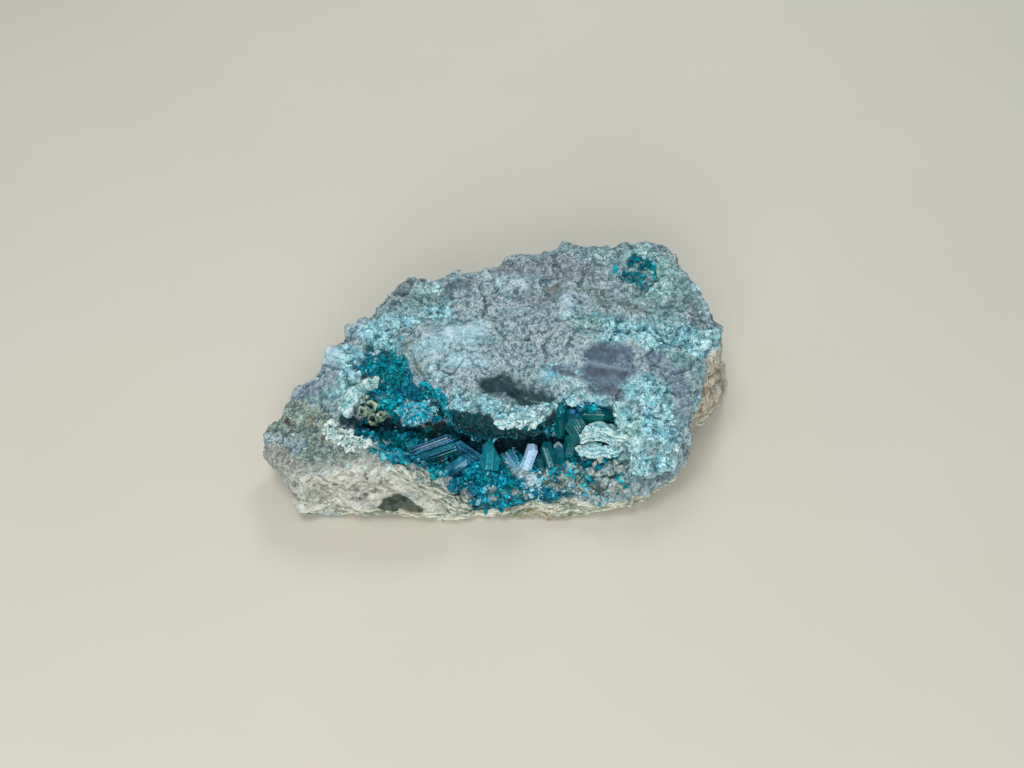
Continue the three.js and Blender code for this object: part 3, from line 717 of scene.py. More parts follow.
lamina = coated(
    layers.shades(0.42, 0.57, "8e9b7c", "fafce8"),
    (grain(bedded, 2.2, 3, 0.6).between(0.54, 0.62) * 0.6, "a08a54"),
    (patch.between(0.56, 0.66) * 0.8, "6f9382"),
)
pit, tone = mask(place, "pit"), mask(place, "tone")
glass = mask(place, "conchoidal") + mask(place, "groove")
# Where no highlight is painted on the ridges: the inclusion, the glassy quartz and groove, the painted
# shade and the vug.
no_ridge_highlight = mask(place, "inclusion").between(0.0, 0.3) + glass * 0.8 + deep + mask(place, "vug") * 0.7
color = coated(
    color,
    (mask(place, "lamina", 1.5, edge), lamina),
    # The vug's ground: dark teal, darkened further as painted shade in the gaps between its crystals.
    (mask(place, "vug", 3, edge), texture.shades(0.42, 0.62, "02343f", "0e8096")),
    (mask(place, "beige", 2, edge), texture.shades(0.44, 0.58, "3f6a6c", "c8d2c6")),
    (mask(place, "snow", 2, edge), texture.shades(0.4, 0.6, "6fb4ce", "eef9fb")),
    # Painted shade: near-black teal in the cave, under the brow and in the clefts.
    (mask(place, "deep", 2, edge), texture.shades(0.42, 0.6, "031c22", "10545e")),
    # Painted shade in the hollows, a deeper teal in the crust, and painted highlights on the ridges.
    (pit.between(0.3, 1.3) * 0.8 * bare, crust.mix(tint("34525c"), tint("15586a"))),
    ((-pit).between(0.3, 1.3) * no_ridge_highlight.math("MAXIMUM", 1 - no_ridge_highlight, 0.0) * 0.45, "e2efee"),
    (tone.between(0.4, 0.9) * 0.65 * (1 - deep), "eef6f4"),
    (tone.between(-0.3, -0.9) * 0.7, "364a52"),
)
height = crests * 0.4 + grit * 0.6 + speckle * 0.35 + mask(place, "lamina") * layers
height = height + cream * (streaks * 0.4 + hair * 0.8) + mask(place, "threads") * threads * 1.5
smoother = mask(place, "chalcedony") + mask(place, "conchoidal") + mask(place, "groove") * 0.6
bump = bumped(height * (1 - smoother * 0.75), 0.7)
connect(shader, Base_Color=color, Roughness=0.75 - mask(place, "chalcedony") * 0.3, Normal=bump)
rock.data.materials.append(quartz)
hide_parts("matrix_rock")
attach(rock, "root")

# ---- Grit on the matrix ----
# Sugary quartz grains over the weathered top, and crumbs of chrysocolla where it crusts them. Each grain
# is a small closed body of its own, half sunk in the ground, joined with the others into one mesh.
chance = np.random.default_rng(5)


def strewn(skin, count, weights):
    """Places on a skin, more where the weights are higher: each with its normal and its nearest point."""
    corners = np.array([face.vertices[:] for face in skin.mesh.polygons])
    a, b, c, d = (skin.points[corners[:, n]] for n in range(4))
    area = np.linalg.norm(np.cross(c - a, d - b), axis=1) / 2
    share = area * weights[corners].mean(axis=1)
    picked = chance.choice(len(corners), count, p=share / share.sum())
    u, v = chance.random((2, count, 1))
    near_side, far_side = (1 - u) * a[picked] + u * b[picked], u * c[picked] + (1 - u) * d[picked]
    at = (1 - v) * near_side + v * far_side
    normal = np.cross(c[picked] - a[picked], d[picked] - b[picked])
    normal /= np.linalg.norm(normal, axis=1)[:, None] + 1e-9
    return at, normal, corners[picked, 0]


def turns(count):
    """Random rotations, as matrices."""
    spins = chance.normal(size=(4, count))
    w, x, y, z = spins / np.linalg.norm(spins, axis=0)
    return np.stack([
        1 - 2 * (y * y + z * z), 2 * (x * y - w * z), 2 * (x * z + w * y),
        2 * (x * y + w * z), 1 - 2 * (x * x + z * z), 2 * (y * z - w * x),
        2 * (x * z - w * y), 2 * (y * z + w * x), 1 - 2 * (x * x + y * y),
    ], axis=1).reshape(count, 3, 3)


def joined(name, bodies, values):
    """One object of many bodies, each its points (mm) and faces, with a number for each by name."""
    mesh = bpy.data.meshes.new(name)
    starts = np.cumsum([0] + [len(points) for points, _ in bodies])
    faces = []
    for (_, own), start in zip(bodies, starts.tolist()):
        faces += [[corner + start for corner in face] for face in own]
    points = np.concatenate([points for points, _ in bodies]) * MM
    mesh.from_pydata(points.tolist(), [], faces)
    sizes = np.diff(starts)
    for label, numbers in values.items():
        layer = mesh.attributes.new(label, "FLOAT", "POINT")
        layer.data.foreach_set("value", np.repeat(np.asarray(numbers, np.float32), sizes))
    piece = bpy.data.objects.new(name, mesh)
    bpy.context.scene.collection.objects.link(piece)
    return piece


def finished(piece, material, slot, *nodes):
    """Gives a piece its material, hides the CAD nodes it stands for, and hangs it under the root. The slot
    is not used.
    """
    piece.data.materials.append(material)
    if nodes:
        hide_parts(*nodes)
    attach(piece, "root")


GRAIN = np.array([(1, 0, 0), (0, 1, 0), (-1, 0, 0), (0, -1, 0), (0, 0, 1), (0, 0, -1)], float)
GRAIN_FACES = [(0, 1, 4), (1, 2, 4), (2, 3, 4), (3, 0, 4), (1, 0, 5), (2, 1, 5), (3, 2, 5), (0, 3, 5)]


def ball(subdivisions):
    """The points and faces of an even ball, 1 mm in radius."""
    shape = bmesh.new()
    bmesh.ops.create_icosphere(shape, subdivisions=subdivisions, radius=1)
    points = np.array([corner.co[:] for corner in shape.verts])
    faces = [[corner.index for corner in face.verts] for face in shape.faces]
    shape.free()
    return points, faces


LUMP, LUMP_FACES = ball(1)


def grains(skin, count, weights, width, sunk, flat=0.8, shape=GRAIN, faces=GRAIN_FACES):
    """Grains strewn over a skin, about width mm across and sunk by a share of that, and where they lie."""
    at, normal, near = strewn(skin, count, weights)
    size = width * chance.uniform(0.6, 1.5, (count, 1, 1)) / 2
    shapes = shape * chance.uniform(0.7, 1.15, (count, len(shape), 1)) * size
    shapes = shapes * chance.uniform(flat, 1.2, (count, 1, 3))
    shapes = np.einsum("nij,nkj->nki", turns(count), shapes) + (at - normal * sunk * width)[:, None]
    shapes[:, :, 2] = np.maximum(shapes[:, :, 2], 0.02)
    return [(body, faces) for body in shapes], near


smooth = [masks[name] for name in ("chalcedony", "conchoidal", "vug", "inclusion")]
smooth += [step(masks["groove"], 0, 0.4)]
smooth += [0.8 * masks[name] for name in ("knob", "violet", "olive", "tan", "cream")]
upward = step(skin.normals()[:, 2], -0.2, 0.5)
crests_now = 0.25 + 0.75 * step(-masks["pit"], -0.4, 0.5)
bare = np.clip(1 - np.max(smooth, axis=0) - 0.5 * masks["crust"] - 2 * masks["deep"], 0.0, 1)
bare *= (0.12 + 0.88 * upward) * crests_now
bare = np.maximum(bare, 0.12 * masks["vug"] * (1 - masks["deep"]))
bodies, near = grains(skin, 20000, bare, 0.42, 0.16)
values = {label: numbers[near] for label, numbers in masks.items() if label != "pit"}
values["tone"] = chance.uniform(-1, 1, len(bodies))
finished(joined("quartz_grit", bodies, values), quartz, "quartz_matrix")

crust_now = np.maximum(masks["crust"], 0.8 * masks["mint"])
crust_now *= np.clip(1 - masks["vug"] - masks["groove"], 0, 1)
chrysocolla, shader, place = finish_for("chrysocolla")
fine = grain(place, 0.3, 2, 0.6)
middling = grain(place, 1.2, 4, 0.6)
crests = grain(place, 1.5, 5, 0.62).ridged()
blots = grain(place, 2.2, 4, 0.65)
blotch = grain(place, 3.4, 4, 0.6)
texture = fine * 0.45 + middling * 0.55
pit, tone = mask(place, "pit"), mask(place, "tone")
color = coated(
    texture.shades(0.42, 0.58, "7cd2e6", "d0f8ff"),
    (grain(place, 2.5, 3).between(0.4, 0.65) * 0.4, "b4e6e8"),
    (mask(place, "mint") * 0.9, texture.shades(0.4, 0.6, "8cc2ba", "d6f1e8")),
    (mask(place, "lime") * 0.8, texture.shades(0.4, 0.6, "a8b08a", "f2f6d8")),
    (mask(place, "snow").between(0.3, 0.7), "e8f8fc"),
    (mask(place, "stain") * blots.between(0.41, 0.49), fine.shades(0.4, 0.6, "0b6f86", "2fb4cc")),
    # Buff-gray on the shelves' undersides: their beige ground, darkened as painted shade.
    (mask(place, "buff_and_underside_shade") * 0.8, texture.shades(0.4, 0.6, "6d7a74", "c4c9b2")),
    (tone.between(0.6, 1.0) * 0.5, "d4f2f4"),
    ((-tone).between(0.3, 1.0) * 0.6, "4cacbc"),
    (texture.between(0.54, 0.60) * 0.5, "f0fbf8"),
    (blotch.between(0.52, 0.6) * 0.5, "e0f8fa"),
    (blotch.between(0.46, 0.38) * 0.5, "3f9cb0"),
    # Dark teal blots: painted shade among the crust's curls.
    (grain(place, 1.6, 4, 0.65).between(0.45, 0.37) * 0.7, "247080"),
    (fine.between(0.43, 0.35) * 0.65, "227082"),
    # Painted shade in the hollows and painted highlights on the ridges.
    (pit.between(0.2, 1.1) * 0.9, "17667c"),
    ((-pit).between(0.3, 1.2) * 0.6, "f2fbf8"),
)
bump = bumped(fine * 0.4 + middling * 0.6 + crests * 0.4, 0.5)
connect(shader, Base_Color=color, Roughness=0.85, Normal=bump)
crumb_weights = crust_now**2 * (crests_now - 0.2) + 1.5 * masks["snow"] + 0.12 * masks["pale"] ** 2
bodies, near = grains(skin, 3400, crumb_weights, 0.75, 0.24, 0.6, LUMP, LUMP_FACES)
fine_bodies, fine_near = grains(skin, 10000, crumb_weights, 0.42, 0.1, 0.6)
bodies, near = bodies + fine_bodies, np.concatenate([near, fine_near])
values = {"mint": masks["mint"][near], "snow": masks["snow"][near], "lime": masks["pale"][near]}
values["tone"] = chance.uniform(-1, 1, len(bodies))
finished(joined("chrysocolla_crumbs", bodies, values), chrysocolla, "chrysocolla")

# ---- Chrysocolla ledges ----
# Thin shelves of crusted chrysocolla at both ends of the vug, the pale rim and plate at its left, and the
# flaky edge of the brow. Each is a flat lump on its outline, laid out afresh, then bedded and pitted.


def weathered(piece, seed, rough, pitted, sheets=0.0):
    """Weathers a finely laid-out piece: rough lumps, pits and folded sheets, in mm. Returns its skin."""
    skin = Skin(piece.data)
    skin.smoothed(4)
    p = skin.points
    relief = rough * (1.1 * waves(p, 3.4, seed, 3) + 0.8 * (0.6 - 2 * np.abs(waves(p, 2.1, seed + 1, 2))))
    relief += 0.5 * rough * chipped(p, 1.6, seed + 4)
    relief += sheets * (1 - 4 * np.abs((p[:, 2] / 1.1 + 1.6 * waves(p, 4, seed + 5, 2)) % 1 - 0.5))
    relief += (0.4 - 0.5 * sheets) * rough * waves(p, 0.6, seed + 2, 2)
    relief -= pitted * step(waves(p, 1.1, seed + 3, 2), 0.2, 0.5)
    skin.points = p + skin.normals() * relief[:, None]
    skin.points[:, 2] = np.maximum(skin.points[:, 2], 0.02)
    skin.keep("pit", hollows(skin, 0.08, 0.3, 5))
    return skin


def shelf(outline, at, facing, thick, narrow):
    """A crusted shelf as a mesh: an outline of picture places, in a plane through a point (mm)."""
    at, facing = np.array(at, float), np.array(facing, float) / np.linalg.norm(facing)
    rays = np.array([ray_at(u, v) for u, v in outline])
    eye = np.array(CAMERA_AT, float)
    rim = eye + rays * (((at - eye) @ facing) / (rays @ facing))[:, None]
    middle = rim.mean(axis=0)
    under = middle + (rim - middle) * narrow - facing * thick
    mesh = bpy.data.meshes.new("shelf")
    count = len(rim)
    points = np.concatenate([rim, under, [middle + facing * 0.25 * thick], [under.mean(axis=0)]]) * MM
    ring = [(n, (n + 1) % count) for n in range(count)]
    faces = [(b, a, 2 * count) for a, b in ring] + [(count + a, count + b, 2 * count + 1) for a, b in ring]
    faces += [(a, b, count + b, count + a) for a, b in ring]
    mesh.from_pydata(points.tolist(), [], faces)
    return mesh


# Each shelf: its outline, a point of its plane (mm), the way it faces, its thickness, how narrow it is
# below, how rough and pitted it is (mm), how many crumbs lie on it, and its tones.
SHELVES = {
    "chrysocolla_ledge_upper": (
        [(578, 436), (584, 428), (590, 423), (600, 421), (608, 424), (616, 426), (624, 429), (630, 433),
         (626, 438), (616, 437), (606, 434), (598, 432), (590, 433), (584, 436)],
        (19.5, -15.6, 13.6), (0.1, 0.05, 1), 2.6, 0.85, 0.24, 0.25, 40,
        {"mint": 0.7, "buff_and_underside_shade": 0.6, "stain": 0.15, "snow": 0.37}),
    "chrysocolla_ledge_lower": (
        [(574, 447), (581, 443), (590, 441), (598, 444), (606, 446), (613, 445), (618, 440), (623, 447),
         (621, 453), (612, 453), (604, 452), (596, 454), (588, 453), (580, 452)],
        (18.8, -17.8, 10.6), (0.1, 0.0, 1), 1.9, 0.8, 0.24, 0.25, 40,
        {"mint": 0.1, "stain": 0.15, "snow": 0.42}),
    "chrysocolla_brow_edge": (
        [(492, 424), (497, 420), (503, 424), (508, 420), (512, 414), (519, 415), (523, 421), (529, 421),
         (536, 420), (543, 415), (548, 418), (541, 424), (534, 426), (528, 431), (520, 429), (515, 423),
         (509, 426), (503, 428), (497, 428)],
        (2.2, -18.0, 17.0), (0, -0.75, 1), 1.5, 0.8, 0.5, 0.9, 60,
        {"mint": 0.6, "stain": 0.5}),
    "chrysocolla_rim_left": (
        [(378, 377), (379, 382), (369, 388), (361, 396), (354, 405), (349, 415), (341, 418), (337, 410),
         (341, 400), (348, 391), (357, 384), (368, 379)],
        (-30.2, -8.6, 16.5), (-0.1, -0.35, 1), 2.0, 0.85, 0.5, 0.4, 120,
        {"mint": 0.6, "lime": 0.35, "stain": 0.3}),
    "chrysocolla_plate_left": (
        [(324, 424), (332, 421), (340, 427), (350, 429), (360, 436), (371, 442), (366, 448), (356, 446),
         (350, 452), (342, 447), (334, 445), (330, 438), (322, 434)],
        (-30.4, -18.2, 14.9), (0, -0.4, 1), 1.8, 0.85, 0.9, 1.3, 120,
        {"mint": 0.4, "lime": 0.8, "stain": 0.15}),
    "chrysocolla_ledge_left": (
        [(397, 410), (403, 404), (412, 401), (421, 403), (429, 401), (437, 407), (435, 414), (429, 420),
         (419, 423), (410, 425), (402, 420)],
        (-17.0, -11.4, 12.8), (0.1, -0.6, 1), 2.6, 0.8, 0.6, 0.5, 200,
        {"stain": 0.9, "buff_and_underside_shade": 1.0}),
}
crumbs, kinds = [], []
for number, (node, shape) in enumerate(SHELVES.items()):
    outline, at, facing, thick, narrow, rough, pitted, count, colors = shape
    piece = laid_afresh(shelf(outline, at, facing, thick, narrow), 0.18, node + "_fine")
    ledge_skin = weathered(piece, 50 + 5 * number, rough, pitted, 0.16 if pitted < 0.3 else 0.0)
    facing_up = ledge_skin.normals()[:, 2]
    for label, value in colors.items():
        # Buff only where the shelf faces down: beige ground with painted shade on its underside.
        shown = step(-facing_up, -0.3, 0.3) if label == "buff_and_underside_shade" else np.ones(len(facing_up))
        ledge_skin.keep(label, value * shown)
    finished(piece, chrysocolla, "chrysocolla", node)
    topside = step(facing_up, -0.3, 0.3)
    crumbs += grains(ledge_skin, count, topside, 0.5, 0.2, 0.6, LUMP, LUMP_FACES)[0]
    kinds += [colors] * count
values = {label: [colors.get(label, 0) for colors in kinds] for label in ("mint", "lime", "stain")}
values["tone"] = chance.uniform(-1, 1, len(crumbs))
finished(joined("ledge_crumbs", crumbs, values), chrysocolla, "chrysocolla")

# ---- Quartz boxwork and nodules ----
# Thin-walled rings of yellowish quartz left standing where crystals dissolved, in the left pocket, and a
# group of blunt gray quartz knobs at the vug's right end.
druse_quartz, shader, place = finish_for("quartz_druse")
fine = grain(place, 0.35, 3, 0.6)
middling = grain(place, 1.4, 3, 0.6)
pit, ring = mask(place, "pit"), mask(place, "ring")
color = coated(
    mask(place, "tone").mix(tint("6f9298"), tint("bcc6bc")),
    ((fine * 0.5 + middling * 0.5).between(0.48, 0.38) * 0.6, "53716f"),
    (ring, middling.shades(0.42, 0.58, "2a675f", "a6b994")),
    # Painted shade in the hollows and painted highlights on the raised edges, fainter on the rings.
    (pit.between(0.05, 0.7), "0f4f55"),
    ((-pit).between(0.2, 1.0) * (0.8 - ring * 0.4), "eef2ec"),
)
connect(shader, Base_Color=color, Roughness=0.45, Normal=bumped(fine, 0.1, 0.5), Transmission_Weight=0.15)
BALL, BALL_FACES = ball(4)
NODULES = [
    (609, 471, 1.35), (601, 460, 0.8), (596, 466, 0.75), (621, 471, 0.9), (606, 481, 0.65),
    (614, 483, 0.7), (590, 473, 0.9), (599, 475, 0.6), (616, 463, 0.6), (622, 479, 0.6),
]
nodules = []
for n, (u, v, radius) in enumerate(NODULES):
    lumps = 1 + 0.12 * waves(BALL * 2, 1.1, 80 + n, 2) + 0.3 * chipped(BALL * 2, 1.5, 90 + n)
    nodules.append((seen(u, v) + [0, 0, 0.4 * radius] + radius * BALL * lumps[:, None], BALL_FACES))
loose = joined("nodules", nodules, {})
piece = laid_afresh(loose.data, 0.12, "quartz_nodules_fine")
bpy.data.objects.remove(loose)
nodule_skin = weathered(piece, 85, 0.1, 0.22)
nodule_skin.keep("tone", 0.5 + 0.8 * waves(nodule_skin.points, 2.0, 86))
finished(piece, druse_quartz, "quartz_druse", "quartz_nodules")


def ring_wall(centre, radius, height, lean, wall=0.45, sides=6):
    """A standing ring with a wobbling wall: its points (mm) and faces."""
    angle = np.linspace(0, 2 * np.pi, sides, endpoint=False)
    wobble = radius * (1 + 0.2 * chance.uniform(-1, 1, sides))
    section = [(wall / 2, 0), (wall / 2 * 0.8, height), (-wall / 2 * 0.8, height * 0.96), (-wall / 2, 0)]
    rings = []
    for out, up in section:
        top = up * (1 + 0.25 * np.sin(2 * angle + centre[0]) + 0.12 * chance.uniform(-1, 1, sides))
        reach = wobble + out
        rings.append(np.stack([reach * np.cos(angle), reach * np.sin(angle), top], axis=1))
    frame_of = np.array(Vector(lean).to_track_quat("Z", "Y").to_matrix())
    points = np.concatenate(rings) @ frame_of.T + centre
    corners = [(a * sides, (a + 1) % 4 * sides, n, (n + 1) % sides) for a in range(4) for n in range(sides)]
    return points, [[far + this, far + that, near + that, near + this] for near, far, this, that in corners]


RINGS = [
    ((-26.4, -9.6, 13.2), 1.05), ((-27.9, -10.6, 12.7), 0.85), ((-26.0, -11.6, 11.4), 0.9),
    ((-24.4, -10.9, 12.0), 0.7), ((-27.3, -8.6, 13.8), 0.7),
]
rings = [ring_wall(centre, radius, chance.uniform(1.1, 1.9), (0.1, -0.45, 1.0)) for centre, radius in RINGS]
for n in range(10):
    centre = np.array(RINGS[n % len(RINGS)][0]) + chance.uniform(-1, 1, 3) * [1.5, 1.2, 0.3] - [0, 0, 0.1]
    lump = GRAIN * chance.uniform(0.7, 1.3, GRAIN.shape) * chance.uniform(0.5, 0.9)
    rings.append((lump + centre, GRAIN_FACES))
loose = joined("rings", rings, {})
piece = laid_afresh(loose.data, 0.1, "quartz_boxwork_rings")
bpy.data.objects.remove(loose)
ring_skin = weathered(piece, 95, 0.24, 0.3)
ring_skin.keep("ring", np.ones(len(ring_skin.points)))
ring_skin.keep("tone", np.full(len(ring_skin.points), 0.8))
finished(piece, druse_quartz, "quartz_druse", "quartz_boxwork")

# ---- Dioptase crystals ----
# The large crystals that stand up out of the druse: six-sided prisms ribbed along their length, each ending
# in three slanting faces. They are clear and deep blue-green, and the palest look almost white.


def prism_body(base, tip, radius, spin=0.0, ribs=1, depth=0.0, broad=1.0, slope=1.23):
    """A six-sided crystal with furrowed sides: its points (mm) and faces. Broad stretches it sideways."""
    base, tip = np.array(base, float), np.array(tip, float)
    length = np.linalg.norm(tip - base)
    along = (tip - base) / length
    across = np.cross(along, [0, 0, 1.0])
    across /= np.linalg.norm(across)
    angle = math.radians(spin) + np.radians(60) * np.arange(7)
    hexagon = np.stack([np.cos(angle), np.sin(angle)], axis=1)
    share = np.arange(ribs) / ribs
    sides = [a * (1 - share[:, None]) + b * share[:, None] for a, b in zip(hexagon, hexagon[1:])]
    outline = np.concatenate(sides)
    furrow = np.where(np.arange(len(outline)) % 2, depth * chance.uniform(0.3, 1.0, len(outline)), 0)
    outline *= (1 - furrow)[:, None]
    size = len(outline)
    top = length - slope * radius * (outline @ hexagon[[0, 2, 4]].T).max(axis=1)
    levels = [0.0, 0.3, 0.32, 0.68, 0.7, 1.0]
    rings = []
    for n, level in enumerate(levels):
        scale = radius * (1 if n in (0, 5) else chance.uniform(0.95, 1.0))
        rings.append(np.column_stack([outline * scale, top * level]))
    local = np.concatenate(rings + [[[0, 0, length]], [[0, 0, 0]]])
    local[:, 0] *= broad
    points = base + local[:, :1] * across + local[:, 1:2] * np.cross(along, across) + local[:, 2:] * along
    faces = [
        (n * size + m, n * size + (m + 1) % size, (n + 1) * size + (m + 1) % size, (n + 1) * size + m)
        for n in range(len(levels) - 1) for m in range(size)
    ]
    last = (len(levels) - 1) * size
    faces += [(last + m, last + (m + 1) % size, len(local) - 2) for m in range(size)]
    faces += [((m + 1) % size, m, len(local) - 1) for m in range(size)]
    return points, faces


def crystal_finish(name, deep, clear, green, pale, transmission, density):
    """Clear crystal, deep to pale by each crystal's tone, with growth lines and a soft gloss, and painted
    light: a violet-blue reflection, shade and glints.
    """
    material, shader, place = finish_for(name)
    tone, shade = mask(place, "tone"), mask(place, "deep")
    cloud = grain(place, 1.1, 3, 0.6)
    lines = grain(place.stretched(3.0, 3.0, 0.5), 0.8, 3)
    fleck = grain(place, 0.45, 4, 0.7)
    color = coated(
        (cloud * 0.45 + tone * 0.55).shades(0.28, 0.68, deep, clear),
        (grain(place, 5, 2).between(0.47, 0.62) * 0.35, green),
        (tone.between(0.68, 1.0), pale),
        # Painted reflection: where 'violet' is set the faces take the violet-blue of the cool light they
        # reflect.
        (mask(place, "violet"), cloud.shades(0.4, 0.6, "0d5684", "5a98d6")),
        # Near-black teal where 'deep' is set: painted shade on the druse in the cave and under the brow; on
        # the large crystals, how dark each one is.
        (shade * 0.95, cloud.shades(0.42, 0.6, "01141a", "064048")),
        (lines.between(0.5, 0.6) * 0.45, deep),
        # Pale flecks, kept out of the painted shade: painted glints.
        (fleck.between(0.56, 0.66) * (1 - shade) * 0.16, pale),
        (fleck.between(0.46, 0.36) * 0.6, "02303c"),
    )
    connect(shader, Base_Color=color, Roughness=0.06 + 0.14 * cloud, Normal=bumped(lines, 0.05, 0.25),
            IOR=1.66, Specular_IOR_Level=0.12, Transmission_Weight=transmission)
    absorption = shader.id_data.nodes.new("ShaderNodeVolumeAbsorption")
    absorption.inputs["Color"].default_value = (*tint(clear), 1)
    absorption.inputs["Density"].default_value = density
    output = shader.id_data.nodes["Material Output"]
    shader.id_data.links.new(absorption.outputs[0], output.inputs["Volume"])
    return material


dioptase = crystal_finish("dioptase", "027a84", "0cbcd0", "05907e", "6fa8ee", 0.35, 450)
dioptase_pale = crystal_finish("dioptase_pale", "84bce6", "a8d4f4", "98ccf0", "d4ecff", 0.12, 20)


def blades(base, tip, spread_base, spread_tip, count, radius, layers=2):
    """Parallel thin crystals side by side, from base to tip, spreading by the two steps (mm)."""
    bodies = []
    for n in range(count):
        for layer in range(layers):
            share = n / (count - 1) + chance.uniform(-0.06, 0.06)
            start = np.array(base) + share * np.array(spread_base) + [0, 0, -0.7 * layer]
            end = np.array(tip) + share * np.array(spread_tip) + [0, 0, -0.7 * layer]
            run = end - start
            end = end - run * chance.uniform(0, 0.16) * (1 + layer)
            width = radius * chance.uniform(0.7, 1.15)
            bodies.append(prism_body(start, end, width, chance.uniform(0, 60), 3, 0.1, 1.0, 0.9))
    return bodies


VIOLET, PLAIN = (0.2, 0.9), (0, 0)
# Each piece: its material, the range of its tones, how much of the painted violet-blue reflection it shows,
# how many of its last crystals show it outright, how dark the others are, and its crystals.
HEROES = {
    "dioptase_striated_bundle_left": (dioptase, (0.0, 0.5), VIOLET, 0, 0, blades(
        (-18.6, -16.4, 8.6), (-9.9, -14.0, 10.9), (0.6, -2.6, -0.8), (0.9, -2.6, -1.0), 7, 0.3)),
    "dioptase_striated_bundle_middle": (dioptase, (0.1, 0.9), VIOLET, 0, 0, blades(
        (-4.7, -16.2, 6.2), (-9.7, -14.8, 9.8), (-1.2, -2.0, -0.5), (-0.8, -1.8, -0.8), 7, 0.24)),
    "dioptase_striated_splinters": (dioptase, (0.6, 1.0), PLAIN, 0, 0, blades(
        (2.1, -19.6, 5.8), (-0.9, -17.2, 8.5), (0.8, 0.5, 0.9), (2.2, 0.6, 1.2), 10, 0.085, 1)),
    "dioptase_peak_prism": (dioptase, (0.3, 0.6), PLAIN, 0, 0.35, [
        prism_body((-3.2, -18.8, 5.8), (-2.7, -15.8, 11.2), 1.5, 10, 6, 0.05, 1.0, 2.0),
        prism_body((-4.2, -19.0, 5.6), (-4.3, -17.4, 8.8), 0.8, 30, 6, 0.05, 1.0, 1.8),
        prism_body((-2.0, -19.0, 5.4), (-1.4, -17.6, 8.4), 0.8, 50, 6, 0.05, 1.0, 1.8),
    ]),
    "dioptase_white_prism": (dioptase_pale, (0.8, 0.9), PLAIN, 0, 0, [
        prism_body((4.1, -19.4, 6.6), (5.7, -17.5, 11.6), 1.0, 20, 6, 0.06, 1.2),
    ]),
    "dioptase_blue_prism": (dioptase, (0.5, 0.55), (0.5, 0.5), 0, 0, [
        prism_body((-12.4, -21.6, 6.4), (-6.6, -18.9, 9.6), 1.3, 5, 8, 0.05),
    ]),
    "dioptase_dark_blocks": (dioptase, (0.1, 0.6), PLAIN, 3, 0.5, [
        prism_body((14.9, -11.0, 12.6), (21.2, -12.4, 13.9), 2.3, 12, 7, 0.05),
        prism_body((15.6, -15.2, 10.5), (12.0, -12.0, 15.4), 2.3, 40, 9, 0.06),
        prism_body((12.6, -16.2, 6.6), (13.4, -14.6, 11.2), 1.5, 20, 5, 0.04),
        prism_body((17.0, -13.6, 8.5), (17.6, -12.0, 12.5), 1.4, 25, 5, 0.04),
        prism_body((11.0, -12.8, 9.0), (10.6, -11.0, 13.6), 1.2, 5, 5, 0.04),
        prism_body((15.0, -15.6, 6.4), (15.6, -14.2, 10.4), 1.2, 35, 5, 0.04),
        prism_body((13.2, -11.6, 13.6), (12.9, -12.6, 16.0), 0.75, 20, 3, 0.03),
        prism_body((14.6, -11.4, 13.8), (14.5, -12.3, 16.2), 0.7, 0, 3, 0.03),
        prism_body((13.9, -12.4, 13.4), (13.8, -13.4, 15.6), 0.6, 40, 3, 0.03),
    ]),
    "dioptase_small_blocks": (dioptase, (0.1, 0.6), PLAIN, 1, 0.75, [
        prism_body((9.2, -18.2, 5.8), (7.6, -15.4, 9.9), 1.3, 30, 5, 0.04),
        prism_body((10.9, -17.2, 5.6), (10.4, -15.2, 9.6), 1.2, 10, 5, 0.04),
        prism_body((7.2, -19.0, 5.2), (6.6, -17.2, 8.2), 1.0, 50, 5, 0.04),
        prism_body((10.6, -16.2, 7.6), (10.5, -16.8, 9.7), 0.6, 15, 3, 0.03),
    ]),
}
for node, (material, tones, tinge, outright, dark, bodies) in HEROES.items():
    violet = chance.uniform(*tinge, len(bodies))
    violet[len(bodies) - outright :] = 0.8
    deep = chance.uniform(0.6, 1.2, len(bodies)) * dark * (violet < 0.5)
    values = {"tone": chance.uniform(*tones, len(bodies)), "violet": violet, "deep": deep}
    slot = "dioptase_pale" if material is dioptase_pale else "dioptase"
    finished(joined(node + "_fine", bodies, values), material, slot, node)

# ---- Dioptase druse ----
# Thousands of small crystals that line the vug's walls and floor and a patch on the rock's top. Each is a
# short six-sided crystal with a three-faced end, rooted in the rock and leaning its own way.
CRYSTAL_FACES = [(n, (n + 1) % 6, 6 + (n + 1) % 6, 6 + n) for n in range(6)]
CRYSTAL_FACES += [(12, 6 + (n - 1) % 6, 6 + n, 6 + (n + 1) % 6) for n in (0, 2, 4)]
CRYSTAL_FACES += [(5, 4, 3, 2, 1, 0)]
HEX = np.stack([np.cos(np.radians(60) * np.arange(6)), np.sin(np.radians(60) * np.arange(6))], axis=1)


def druse_bodies(at, normal, radius, length):
    """Small crystals standing on the rock: their points (mm), each leaning off its own normal."""
    count = len(at)
    along = 0.8 * normal + chance.normal(0, 0.7, (count, 3)) + [0, -0.15, 0.3]
    along /= np.linalg.norm(along, axis=1)[:, None]
    across = np.cross(along, chance.normal(size=(count, 3)))
    across /= np.linalg.norm(across, axis=1)[:, None]
    other = np.cross(along, across)
    ring = HEX[None] * radius[:, None, None] * chance.uniform(0.88, 1.08, (count, 6, 1))
    ring[:, :, 0] *= chance.uniform(0.35, 1.1, (count, 1))
    top = length[:, None] - 1.3 * radius[:, None] * np.where(np.arange(6) % 2, 0.5, 1.0)
    bottom = np.full((count, 6), -0.6) * radius[:, None]
    local = np.concatenate([
        np.concatenate([ring, bottom[:, :, None]], axis=2),
        np.concatenate([ring, top[:, :, None]], axis=2),
        np.stack([np.zeros(count), np.zeros(count), length], axis=1)[:, None],
    ], axis=1)
    axes = np.stack([across, other, along], axis=1)
    return np.einsum("nki,nij->nkj", local, axes) + at[:, None]


